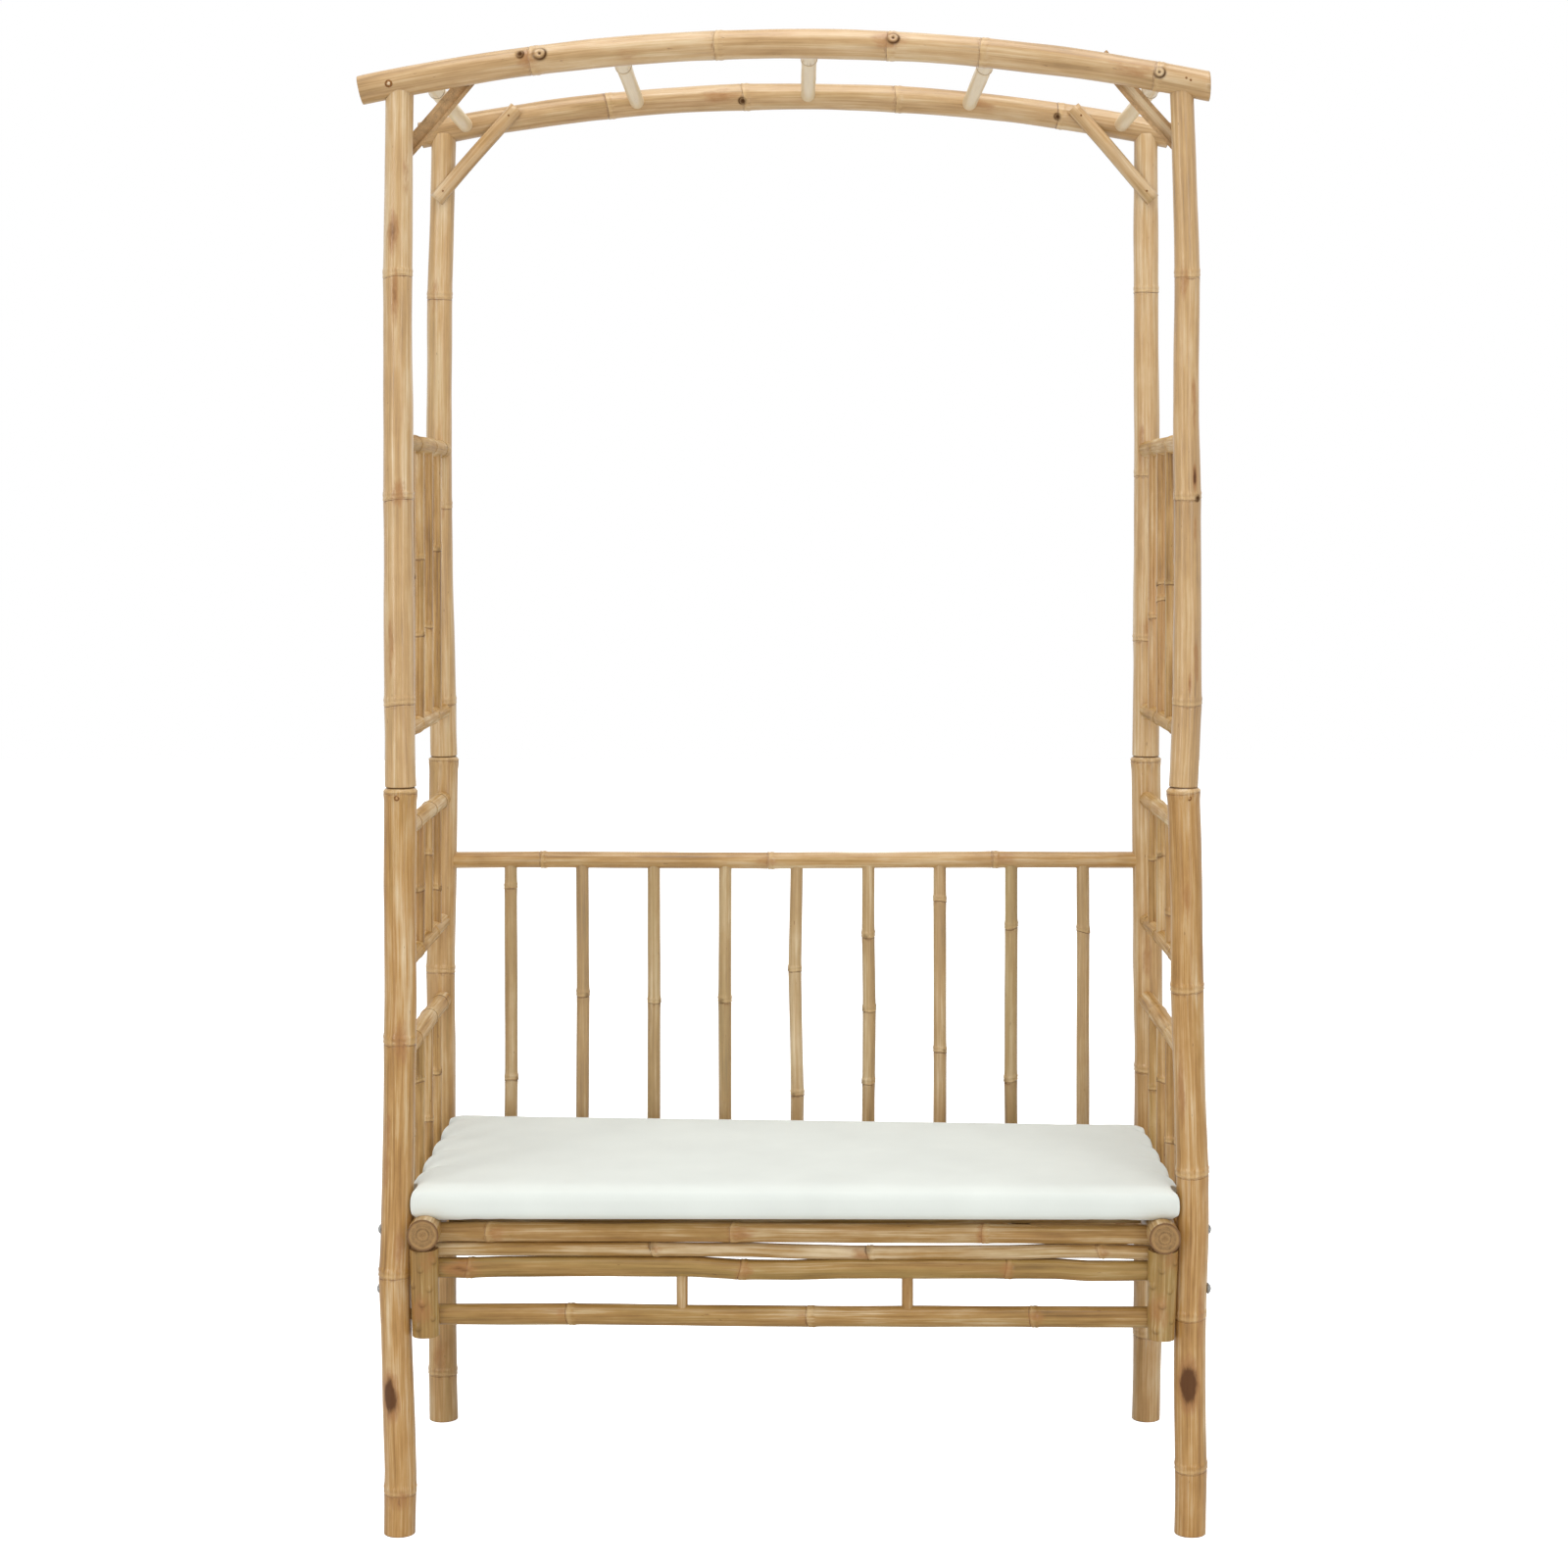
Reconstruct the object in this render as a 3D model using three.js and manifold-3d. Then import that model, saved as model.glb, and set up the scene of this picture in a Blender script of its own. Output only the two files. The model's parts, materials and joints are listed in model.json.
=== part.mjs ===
// An arbour seat of bamboo poles: a bench between two ladder sides, under an arched roof,
// with one loose cushion. Millimetres. X runs along the bench, the front faces -Y, +Z is up,
// and the origin is on the ground under the middle of the seat.

import * as THREE from "three";
import { mergeVertices } from "three/addons/utils/BufferGeometryUtils.js";
import Module from "manifold-3d";

const wasm = await Module();
wasm.setup();

// Frame: the four posts, each a lower pole with an upper pole plugged into its mouth.
const postSpacingX = 1080;
const postSpacingY = 500;
const postJointZ = 1019;
const postFootDia = 43;
const postMouthDia = 44;
const upperPostFootDia = 41;
const upperPostTopDia = 37;
const spigotDia = 27;
const spigotLength = 80;

// Roof: two arched beams, the rungs between them and the corner braces.
const roofSpan = 1152;
const archRise = 60;
const archTopZ = 2034;
const beamDia = 40;
const roofRungDia = 22;
const roofRungShares = [-0.877, -0.42, 0.035, 0.465, 0.87];
const braceLength = 187;
const braceWidth = 25;
const braceThickness = 9;
const braceDrop = 98.3;
const braceFootOverhang = 14;
const braceSlope = THREE.MathUtils.degToRad(49);

// Ladder sides: heights of the rungs, from the top down.
const upperTopRungZ = 1490;
const upperTopRungDia = 25;
const upperLowRungZ = 1090;
const upperLowRungDia = 23;
const lowerTopRungZ = 954;
const lowerTopRungDia = 24;
const middleRungZ = 768;
const middleRungDia = 23;
const armRungZ = 647;
const armRungDia = 26;
const seatRungZ = 398;
const seatRungDia = 23;
const sideSpindleDia = 17;
const sideSpindleCount = 4;

// Backrest: a top rail, a bottom rail and the spindles between them.
const backTopRailZ = 859;
const backTopRailDia = 25;
const backBottomRailZ = 437;
const backBottomRailDia = 22;
const backSpindleDia = 20;
const backSpindlePitch = 110;
const backSpindleShift = 3;

// Seat frame: side rails on short legs, with lengthwise rails between them.
const sideRailZ = 415;
const sideRailDia = 41;
const sideRailOverhang = 35;
const seatLegDia = 39;
const seatLegFootDia = 36;
const seatLegFootZ = 269;
const seatLegBoreDia = 24;
const seatLegBoreDepth = 34;
const topRailZ = 410;
const topRailDia = 26;
const ledgerZ = 385.5;
const ledgerDia = 18.5;
const middleRailZ = 361;
const middleRailDia = 24.5;
const bottomRailZ = 297;
const bottomRailDia = 26;
const throughTenonDia = 15;
const shortSpindleDia = 14;
const shortSpindleSpacing = 308;

// Seat deck: flat slats along the bench, nailed to bearers that run front to back.
const slatTopZ = 426.5;
const slatThickness = 9;
const slatWidth = 40;
const slatCount = 8;
const slatEndGap = 3;
const bearerHeight = 13;
const bearerWidth = 28;
const bearerCount = 3;
const bearerSpacing = 310;

// Cushion: one loose pad, crowned on top, with its sides drawn in between the corners.
const cushionDepth = 456;
const cushionBackGap = 58;
const cushionThickness = 38;
const cushionCrown = 7;
const cushionSideGap = 4;
const cushionDrawnIn = 6;
const cushionEdgeRoll = 9;
const cushionRamp = 22;

// Bolts that hold the seat frame to the front posts.
const boltDia = 6;
const boltHeadDia = 13;
const boltHeadHeight = 5;
const boltGrip = 24;
const seatLegBoltZ = 334;

// Fits.
const gap = 0.3;
const postTenon = 12;
const railTenon = 6;
const deckTenon = 4;
const cutOverrun = 5;

// Nodes of the bamboo: swellings as shares of the pole's thickness.
const nodeSwellShare = 0.036;
const nodeReachShare = 0.22;
const mouthFlareShare = 0.03;

// Facets round a pole, and along an arched one.
const postSides = 10;
const railSides = 8;
const spindleSides = 6;
const archSteps = 10;
const cushionCells = [16, 10, 2];

const colours = {
  post: { color: 0xcfa66e, roughness: 0.48, metalness: 0 },
  roof: { color: 0xd8b27c, roughness: 0.46, metalness: 0 },
  rung: { color: 0xd3ab74, roughness: 0.48, metalness: 0 },
  seat: { color: 0xa98552, roughness: 0.5, metalness: 0 },
  fabric: { color: 0xe6e8e1, roughness: 0.9, metalness: 0 },
  steel: { color: 0x8f9290, roughness: 0.35, metalness: 1 },
};

// Where each pole's nodes are, as [share of its length, kink there as a share of its thickness].
const nodeShares = {
  lowerFrontLeft: [[0.048, 0.01], [0.335, 0.09], [0.653, 0.07]],
  lowerFrontRight: [[0.078, 0.02], [0.281, 0.07], [0.475, 0.08], [0.723, 0.05]],
  lowerBackLeft: [[0.061, 0.03], [0.67, 0.11]],
  lowerBackRight: [[0.121, 0.06], [0.521, 0.1]],
  upperFrontLeft: [[0.114, 0.03], [0.407, 0.06], [0.725, 0.07]],
  upperFrontRight: [[0.114, 0.02], [0.407, 0.05], [0.725, -0.05]],
  upperBackLeft: [[0.082, 0.04], [0.395, 0.19], [0.73, 0.15]],
  upperBackRight: [[0.182, 0.02], [0.445, 0.04], [0.738, 0.01]],
  beamFront: [[0.2, 0], [0.418, 0], [0.626, 0], [0.73, 0], [0.94, 0]],
  beamBack: [[0.25, 0], [0.43, 0], [0.632, 0], [0.848, 0]],
  backTopRail: [[0.13, 0.03], [0.46, -0.04], [0.785, 0.03]],
  backSpindles: [
    [[0.19, 0.05], [0.907, 0]],
    [[0.507, 0.07]],
    [[0.477, 0.03]],
    [[0.485, -0.04]],
    [[0.132, 0.05], [0.596, -0.15]],
    [[0.178, 0.03], [0.45, 0.09], [0.727, 0]],
    [[0.294, 0.02], [0.859, 0]],
    [[0.187, -0.04], [0.76, 0]],
    [[0.745, 0.03]],
  ],
  topRail: [[0.07, 0], [0.41, 0.03], [0.77, 0]],
  ledger: [[0.3, -0.05], [0.6, -0.16]],
  middleRail: [[0.04, 0], [0.43, -0.08]],
  bottomRail: [[0.52, -0.05]],
  sideRung: [[0.36, 0.04]],
  sideSpindle: [[0.42, 0.04]],
  roofRung: [[0.58, 0.03]],
  sideRail: [[0.3, 0], [0.74, 0]],
  seatLeg: [[0.6, 0]],
  plain: [],
};

const group = new THREE.Group();
group.name = "arbour_seat";

// Gives a solid a name, a finish and its place in the group.
function place(name, finish, solid) {
  const { vertProperties, triVerts } = solid.getMesh();
  const geometry = new THREE.BufferGeometry();
  geometry.setAttribute("position", new THREE.BufferAttribute(vertProperties, 3));
  geometry.setIndex(new THREE.BufferAttribute(triVerts, 1));
  geometry.computeVertexNormals();
  const mesh = new THREE.Mesh(geometry, new THREE.MeshStandardMaterial(colours[finish]));
  mesh.name = name;
  group.add(mesh);
}

// A three.js geometry, closed and merged, as a solid that can be joined and cut.
function solidOf(geometry) {
  const plain = geometry.clone();
  plain.deleteAttribute("normal");
  plain.deleteAttribute("uv");
  const merged = mergeVertices(plain);
  return new wasm.Manifold(
    new wasm.Mesh({
      numProp: 3,
      vertProperties: merged.attributes.position.array,
      triVerts: new Uint32Array(merged.index.array),
    }),
  );
}

// Thickness of a pole at a share of its length, without its nodes.
function diaAt(pole, share) {
  return THREE.MathUtils.lerp(pole.startDia, pole.endDia, share);
}

// How far a pole's middle line stands off its straight line at a share of its length.
function kinkAt(pole, share) {
  const stops = [[0, 0], ...pole.nodes, [1, 0]];
  const next = Math.max(1, stops.findIndex(([place]) => place >= share));
  const [lowPlace, lowKink] = stops[next - 1];
  const [highPlace, highKink] = stops[next];
  const between = (share - lowPlace) / (highPlace - lowPlace);
  const thickness = Math.max(pole.startDia, pole.endDia);
  return thickness * THREE.MathUtils.lerp(lowKink, highKink, between);
}

// The profile of a pole on its own axis, swollen at its nodes, with more rings where it bends.
function profileOf(pole, length, steps) {
  const rings = [];
  for (let i = 0; i <= steps; i += 1) rings.push([i / steps, 0]);
  for (const [share] of pole.nodes) {
    const reach = (diaAt(pole, share) * nodeReachShare) / length;
    rings.push([share - reach, 0], [share, nodeSwellShare], [share + reach, 0]);
  }
  const swollen = pole.nodes.map(([share]) => share);
  const clear = rings.filter(
    ([share, swell]) => swell || !swollen.some((place) => Math.abs(place - share) * length < gap),
  );
  clear.sort((a, b) => a[0] - b[0]);
  const outline = clear.map(([share, swell]) => {
    const dia = diaAt(pole, share);
    return new THREE.Vector2(dia / 2 + dia * swell, share * length);
  });
  return [new THREE.Vector2(0, 0), ...outline, new THREE.Vector2(0, length)];
}

// How far a pole's skin is from its middle line at a share of its length, nodes included.
function skinAt(pole, share) {
  const length = pole.from.distanceTo(pole.to);
  const outline = profileOf(pole, length, 1).slice(1, -1);
  const next = Math.max(1, outline.findIndex((ring) => ring.y >= share * length));
  const [low, high] = [outline[next - 1], outline[next]];
  return THREE.MathUtils.mapLinear(share * length, low.y, high.y, low.x, high.x);
}

// A pole from one point to another, kinked at its nodes towards the direction of lean.
function culm(pole) {
  const { from, to, lean = new THREE.Vector3(1, 0, 0), sides = railSides } = pole;
  const span = to.clone().sub(from);
  const length = span.length();
  const shape = new THREE.LatheGeometry(profileOf(pole, length, 1), sides);
  const turn = new THREE.Quaternion().setFromUnitVectors(
    new THREE.Vector3(0, 1, 0),
    span.clone().normalize(),
  );
  const points = shape.attributes.position;
  const point = new THREE.Vector3();
  for (let i = 0; i < points.count; i += 1) {
    point.fromBufferAttribute(points, i);
    const share = THREE.MathUtils.clamp(point.y / length, 0, 1);
    point.applyQuaternion(turn).add(from).addScaledVector(lean, kinkAt(pole, share));
    points.setXYZ(i, point.x, point.y, point.z);
  }
  return solidOf(shape);
}

// A plain rod between two points, for pins and tenons.
function rod(from, to, dia, sides = railSides) {
  return culm({ from, to, startDia: dia, endDia: dia, nodes: nodeShares.plain, sides });
}

// The room that a pole takes: longer and thicker than the pole by the usual gap.
function spaceFor(pole) {
  const along = pole.to.clone().sub(pole.from).normalize();
  return culm({
    ...pole,
    from: pole.from.clone().addScaledVector(along, -gap),
    to: pole.to.clone().addScaledVector(along, gap),
    startDia: pole.startDia + 2 * gap,
    endDia: pole.endDia + 2 * gap,
  });
}

// The hole that takes a plain rod.
function holeFor(from, to, dia, sides = railSides) {
  return spaceFor({ from, to, startDia: dia, endDia: dia, nodes: nodeShares.plain, sides });
}

function at(x, y, z) {
  return new THREE.Vector3(x, y, z);
}

function join(parts) {
  return parts.reduce((whole, part) => whole.add(part));
}

function cut(solid, tools) {
  return tools.reduce((left, tool) => left.subtract(tool), solid);
}

const upwards = at(0, 0, 1);
const outwards = { left: at(-1, 0, 0), right: at(1, 0, 0) };
const sideSign = { left: -1, right: 1 };
const rowSign = { front: -1, back: 1 };
const capital = (word) => word[0].toUpperCase() + word.slice(1);

// Posts: the line of each pole, so that everything beside one can find it.
const archRadius = ((roofSpan / 2) ** 2 + archRise ** 2) / (2 * archRise);
const archCentreZ = archTopZ - archRadius;
const beamZ = (x) => archCentreZ + Math.sqrt(archRadius ** 2 - x ** 2);
const postTopZ = beamZ(postSpacingX / 2);
const corners = [];
for (const row of ["front", "back"])
  for (const side of ["left", "right"]) {
    const x = (sideSign[side] * postSpacingX) / 2;
    const y = (rowSign[row] * postSpacingY) / 2;
    const lower = {
      from: at(x, y, 0),
      to: at(x, y, postJointZ),
      startDia: postFootDia,
      endDia: postMouthDia,
      nodes: nodeShares["lower" + capital(row) + capital(side)],
      lean: outwards[side],
      sides: postSides,
    };
    const upper = {
      from: at(x, y, postJointZ + gap),
      to: at(x, y, postTopZ),
      startDia: upperPostFootDia,
      endDia: upperPostTopDia,
      nodes: nodeShares["upper" + capital(row) + capital(side)],
      lean: outwards[side],
      sides: postSides,
    };
    corners.push({ row, side, x, y, lower, upper });
  }

// Distance from the middle plane to a lower post's inner skin at a height, clear of its nodes.
function postInnerX(corner, z) {
  const share = z / postJointZ;
  const swollen = diaAt(corner.lower, share) * (0.5 + nodeSwellShare);
  return postSpacingX / 2 + kinkAt(corner.lower, share) - swollen;
}

const widest = Math.max(sideRailDia, seatLegDia) / 2;
const seatHeights = [sideRailZ, seatLegBoltZ, seatLegFootZ];
const innerXs = corners.flatMap((corner) => seatHeights.map((z) => postInnerX(corner, z)));
const railX = Math.min(...innerXs) - gap - widest;
const railInnerX = railX - sideRailDia / 2;
const legInnerX = railX - seatLegDia / 2;

// Rungs of the two ladder sides, each with the spindles that stand between it and the next.
const rungEndY = postSpacingY / 2 - postMouthDia / 2 + postTenon;
const rungs = [
  { name: "side_upper_top_rung", z: upperTopRungZ, dia: upperTopRungDia },
  { name: "side_upper_comb", z: upperLowRungZ, dia: upperLowRungDia, takenBy: 0 },
  { name: "side_lower_top_rung", z: lowerTopRungZ, dia: lowerTopRungDia },
  { name: "side_middle_comb", z: middleRungZ, dia: middleRungDia, takenBy: 2 },
  { name: "side_arm_rung", z: armRungZ, dia: armRungDia },
  { name: "side_seat_comb", z: seatRungZ, dia: seatRungDia, takenBy: 4 },
];

// The upright spindles of a comb, from inside its own rung into the rung above.
function combSpindles(rung, x) {
  if (rung.takenBy === undefined) return [];
  const above = rungs[rung.takenBy];
  const pitch = postSpacingY / (sideSpindleCount + 1);
  return Array.from({ length: sideSpindleCount }, (_, i) => {
    const y = -postSpacingY / 2 + pitch * (i + 1);
    return {
      from: at(x, y, rung.z),
      to: at(x, y, above.z - above.dia / 2 + railTenon),
      startDia: sideSpindleDia,
      endDia: sideSpindleDia,
      nodes: nodeShares.sideSpindle,
      sides: spindleSides,
    };
  });
}

const sideSockets = { left: [], right: [] };
for (const side of ["left", "right"]) {
  const x = (sideSign[side] * postSpacingX) / 2;
  for (const [i, rung] of rungs.entries()) {
    const pole = {
      from: at(x, -rungEndY, rung.z),
      to: at(x, rungEndY, rung.z),
      startDia: rung.dia,
      endDia: rung.dia,
      nodes: nodeShares.sideRung,
      lean: upwards,
    };
    const uprights = combSpindles(rung, x).map(culm);
    const below = rungs.filter((one) => one.takenBy === i);
    const sockets = below.flatMap((one) => combSpindles(one, x)).map(spaceFor);
    place(rung.name + "_" + side, "rung", cut(join([culm(pole), ...uprights]), sockets));
    sideSockets[side].push(spaceFor(pole));
  }
}

// Backrest: rails between the back posts, and spindles between the rails.
const backY = postSpacingY / 2;
const backRailEndX = postSpacingX / 2 - postMouthDia / 2 + postTenon;
const backTopEnds = [at(-backRailEndX, backY, backTopRailZ), at(backRailEndX, backY, backTopRailZ)];
const backBottomEnds = [
  at(-backRailEndX, backY, backBottomRailZ),
  at(backRailEndX, backY, backBottomRailZ),
];
const spindleFootZ = backBottomRailZ + backBottomRailDia / 2 - railTenon;
const spindleTipZ = backTopRailZ - backTopRailDia / 2 + railTenon;
const middleSpindle = (nodeShares.backSpindles.length - 1) / 2;
const backSpindles = nodeShares.backSpindles.map((nodes, i) => {
  const x = backSpindleShift + (i - middleSpindle) * backSpindlePitch;
  return {
    from: at(x, backY, spindleFootZ),
    to: at(x, backY, spindleTipZ),
    startDia: backSpindleDia,
    endDia: backSpindleDia,
    nodes,
    sides: spindleSides,
  };
});
const backSockets = backSpindles.map(spaceFor);
backSpindles.forEach((spindle, i) => place("back_spindle_" + (i + 1), "seat", culm(spindle)));

// Seat frame: side rails and short legs, and the rails that run lengthwise between them.
const sideRailEndY = postSpacingY / 2 + sideRailOverhang;
const railEnds = (side) => [
  at(sideSign[side] * railX, -sideRailEndY, sideRailZ),
  at(sideSign[side] * railX, sideRailEndY, sideRailZ),
];
const lengthwise = (endX, y, z) => [at(-endX, y, z), at(endX, y, z)];
const legMouthZ = sideRailZ - sideRailDia / 2;
const topRailEndX = railInnerX + postTenon;
const ledgerEndX = legInnerX + deckTenon;
const middleRailEndX = legInnerX + postTenon;
const bottomRailEndX = legInnerX + deckTenon;
const throughTenonEndX = postSpacingX / 2 - postFootDia / 2 + postTenon;
const shortSpindleXs = [-shortSpindleSpacing / 2, shortSpindleSpacing / 2];
const shortSpindle = (x) => [
  at(x, -backY, bottomRailZ),
  at(x, -backY, middleRailZ - middleRailDia / 2 + railTenon),
];

const lengthwiseRails = [
  { name: "seat_front_top_rail", row: "front", z: topRailZ, dia: topRailDia, endX: topRailEndX },
  { name: "seat_front_ledger", row: "front", z: ledgerZ, dia: ledgerDia, endX: ledgerEndX },
  {
    name: "seat_front_middle_rail",
    row: "front",
    z: middleRailZ,
    dia: middleRailDia,
    endX: middleRailEndX,
  },
  {
    name: "seat_front_bottom_rail",
    row: "front",
    z: bottomRailZ,
    dia: bottomRailDia,
    endX: bottomRailEndX,
    through: true,
  },
  { name: "seat_back_top_rail", row: "back", z: topRailZ, dia: topRailDia, endX: topRailEndX },
  {
    name: "seat_back_bottom_rail",
    row: "back",
    z: bottomRailZ,
    dia: bottomRailDia,
    endX: bottomRailEndX,
    through: true,
  },
];
const railNodes = {
  seat_front_top_rail: nodeShares.topRail,
  seat_front_ledger: nodeShares.ledger,
  seat_front_middle_rail: nodeShares.middleRail,
  seat_front_bottom_rail: nodeShares.bottomRail,
  seat_back_top_rail: nodeShares.topRail,
  seat_back_bottom_rail: nodeShares.bottomRail,
};

// Seat deck: slats on bearers, whose ends sit in the front and back top rails.
const deckDepth = postSpacingY - topRailDia - 2 * gap;
const slatPitch = (deckDepth - slatWidth) / (slatCount - 1);
const slatEndX = railInnerX - slatEndGap;
const bearerEndY = backY - topRailDia / 2 + deckTenon;
const bearerTopZ = slatTopZ - slatThickness;
const bearerXs = Array.from(
  { length: bearerCount },
  (_, i) => (i - (bearerCount - 1) / 2) * bearerSpacing,
);

function block(width, depth, height, x, y, z) {
  return solidOf(new THREE.BoxGeometry(width, depth, height).translate(x, y, z));
}

const bearerBlock = (x, grow) =>
  block(
    bearerWidth + 2 * grow,
    2 * (bearerEndY + grow),
    bearerHeight + 2 * grow,
    x,
    0,
    bearerTopZ - bearerHeight / 2,
  );
const slats = Array.from({ length: slatCount }, (_, i) => {
  const y = (i - (slatCount - 1) / 2) * slatPitch;
  const sunk = slatThickness + gap;
  return block(2 * slatEndX, slatWidth, sunk, 0, y, slatTopZ - sunk / 2);
});
const deck = join([...bearerXs.map((x) => bearerBlock(x, 0)), ...slats]);
const deckSockets = bearerXs.map((x) => bearerBlock(x, gap));
place("seat_deck", "seat", cut(deck, [sideRailSpace("left"), sideRailSpace("right")]));

// The room that a side rail takes, for what is cut back beside it.
function sideRailSpace(side) {
  return holeFor(...railEnds(side), sideRailDia, postSides);
}

function railPole({ name, row, z, dia, endX }) {
  const [from, to] = lengthwise(endX, rowSign[row] * backY, z);
  return { from, to, startDia: dia, endDia: dia, nodes: railNodes[name], lean: upwards };
}

const throughEnds = (row) => lengthwise(throughTenonEndX, rowSign[row] * backY, bottomRailZ);

for (const rail of lengthwiseRails) {
  let solid = culm(railPole(rail));
  if (rail.through) solid = solid.add(rod(...throughEnds(rail.row), throughTenonDia));
  if (rail.z === topRailZ) solid = cut(solid, deckSockets);
  if (rail.name === "seat_front_bottom_rail")
    solid = join([
      solid,
      ...shortSpindleXs.map((x) => rod(...shortSpindle(x), shortSpindleDia, spindleSides)),
    ]);
  if (rail.name === "seat_front_middle_rail")
    solid = cut(
      solid,
      shortSpindleXs.map((x) => holeFor(...shortSpindle(x), shortSpindleDia, spindleSides)),
    );
  place(rail.name, "seat", solid);
}

// Holes that the lengthwise rails of one row need in what carries them.
function railHoles(row, wanted) {
  const rails = lengthwiseRails.filter((rail) => rail.row === row && wanted(rail));
  return rails.map((rail) => spaceFor(railPole(rail)));
}

function throughHoles(row) {
  return holeFor(...throughEnds(row), throughTenonDia);
}

// Bolts: a domed head outside the post, and a shank into the rail or leg behind it.
const bolts = [];
for (const side of ["left", "right"])
  for (const [level, z] of [["upper", sideRailZ], ["lower", seatLegBoltZ]]) {
    const { lower } = corners.find((one) => one.row === "front" && one.side === side);
    const heights = [z - boltHeadDia / 2, z, z + boltHeadDia / 2];
    const covered = heights.map((height) => height / postJointZ);
    const proud = covered.map((share) => kinkAt(lower, share) + skinAt(lower, share));
    const outerX = postSpacingX / 2 + Math.max(...proud);
    const tipX = railX + widest - boltGrip;
    bolts.push({ side, level, z, outerX, tipX });
  }

function boltShank({ side, z, outerX, tipX }) {
  const y = -postSpacingY / 2;
  return [at(sideSign[side] * tipX, y, z), at(sideSign[side] * (outerX + gap), y, z)];
}

for (const bolt of bolts) {
  const dome = new THREE.SphereGeometry(boltHeadDia / 2, spindleSides, spindleSides);
  dome.scale((2 * boltHeadHeight) / boltHeadDia, 1, 1);
  const head = solidOf(dome.rotateX(Math.PI / 2));
  const [tip, base] = boltShank(bolt);
  const headX = sideSign[bolt.side] * (bolt.outerX + gap);
  const inner = block(
    boltHeadDia,
    2 * boltHeadDia,
    2 * boltHeadDia,
    -sideSign[bolt.side] * boltHeadDia / 2,
    0,
    0,
  );
  const half = head.subtract(inner).translate([headX, base.y, base.z]);
  const reach = base.clone().addScaledVector(outwards[bolt.side], boltHeadHeight / 2);
  const solid = rod(tip, reach, boltDia, spindleSides).add(half);
  place("bolt_" + bolt.level + "_" + bolt.side, "steel", solid);
}

function boltHoles(side, row) {
  if (row !== "front") return [];
  return bolts
    .filter((bolt) => bolt.side === side)
    .map((bolt) => {
      const [tip, base] = boltShank(bolt);
      const past = base.clone().addScaledVector(outwards[side], cutOverrun);
      return holeFor(tip, past, boltDia, spindleSides);
    });
}

for (const side of ["left", "right"]) {
  const rail = culm({
    from: railEnds(side)[0],
    to: railEnds(side)[1],
    startDia: sideRailDia,
    endDia: sideRailDia,
    nodes: nodeShares.sideRail,
    lean: upwards,
    sides: postSides,
  });
  const holes = ["front", "back"].flatMap((row) => railHoles(row, (one) => one.z === topRailZ));
  place("seat_side_rail_" + side, "seat", cut(rail, [...holes, ...boltHoles(side, "front")]));
}

// Short legs: bored at the top, and cut to a saddle that the side rail lies in.
for (const { row, side, y } of corners) {
  const x = sideSign[side] * railX;
  const leg = culm({
    from: at(x, y, seatLegFootZ),
    to: at(x, y, sideRailZ),
    startDia: seatLegFootDia,
    endDia: seatLegDia,
    nodes: nodeShares.seatLeg,
    sides: postSides,
  });
  const bore = rod(
    at(x, y, legMouthZ - seatLegBoreDepth),
    at(x, y, sideRailZ + cutOverrun),
    seatLegBoreDia,
    spindleSides,
  );
  const rails = railHoles(row, (rail) => rail.z !== topRailZ);
  const tools = [bore, sideRailSpace(side), ...rails, throughHoles(row), ...boltHoles(side, row)];
  const topRails = railHoles(row, (rail) => rail.z === topRailZ);
  place("seat_leg_" + row + "_" + side, "seat", cut(leg, [...tools, ...topRails]));
}

// Backrest rails: the top one is socketed below, and the bottom one above and over the side rails.
const backTopRail = culm({
  from: backTopEnds[0],
  to: backTopEnds[1],
  startDia: backTopRailDia,
  endDia: backTopRailDia,
  nodes: nodeShares.backTopRail,
  lean: upwards,
});
place("back_top_rail", "rung", cut(backTopRail, backSockets));
const backBottomRail = rod(...backBottomEnds, backBottomRailDia);
const saddles = [sideRailSpace("left"), sideRailSpace("right")];
place("back_bottom_rail", "seat", cut(backBottomRail, [...backSockets, ...saddles]));

// Roof beams: a pole bent to the arch, or with some growth the room that such a beam takes.
function beam(row, growth) {
  const halfAngle = Math.asin(roofSpan / 2 / archRadius);
  const length = 2 * halfAngle * archRadius;
  const dia = beamDia + 2 * growth;
  const pole = { startDia: dia, endDia: dia, nodes: nodeShares["beam" + capital(row)] };
  const shape = new THREE.LatheGeometry(profileOf(pole, length, archSteps), postSides);
  const points = shape.attributes.position;
  const y = rowSign[row] * backY;
  for (let i = 0; i < points.count; i += 1) {
    const angle = (points.getY(i) - length / 2) / archRadius;
    const radius = archRadius + points.getX(i);
    points.setXYZ(
      i,
      radius * Math.sin(angle),
      y + points.getZ(i),
      archCentreZ + radius * Math.cos(angle),
    );
  }
  return solidOf(shape);
}

const roofRungEndY = backY - beamDia / 2 + postTenon;
const roofRungEnds = roofRungShares.map((share) => {
  const x = (share * roofSpan) / 2;
  return [at(x, -roofRungEndY, beamZ(x)), at(x, roofRungEndY, beamZ(x))];
});
roofRungEnds.forEach(([from, to], i) => {
  const pole = { from, to, startDia: roofRungDia, endDia: roofRungDia, lean: upwards };
  place("roof_rung_" + (i + 1), "roof", culm({ ...pole, nodes: nodeShares.roofRung }));
});
const roofSockets = roofRungEnds.map(([from, to]) => holeFor(from, to, roofRungDia));
for (const row of ["front", "back"])
  place("roof_beam_" + row, "roof", cut(beam(row, 0), roofSockets));

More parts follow.
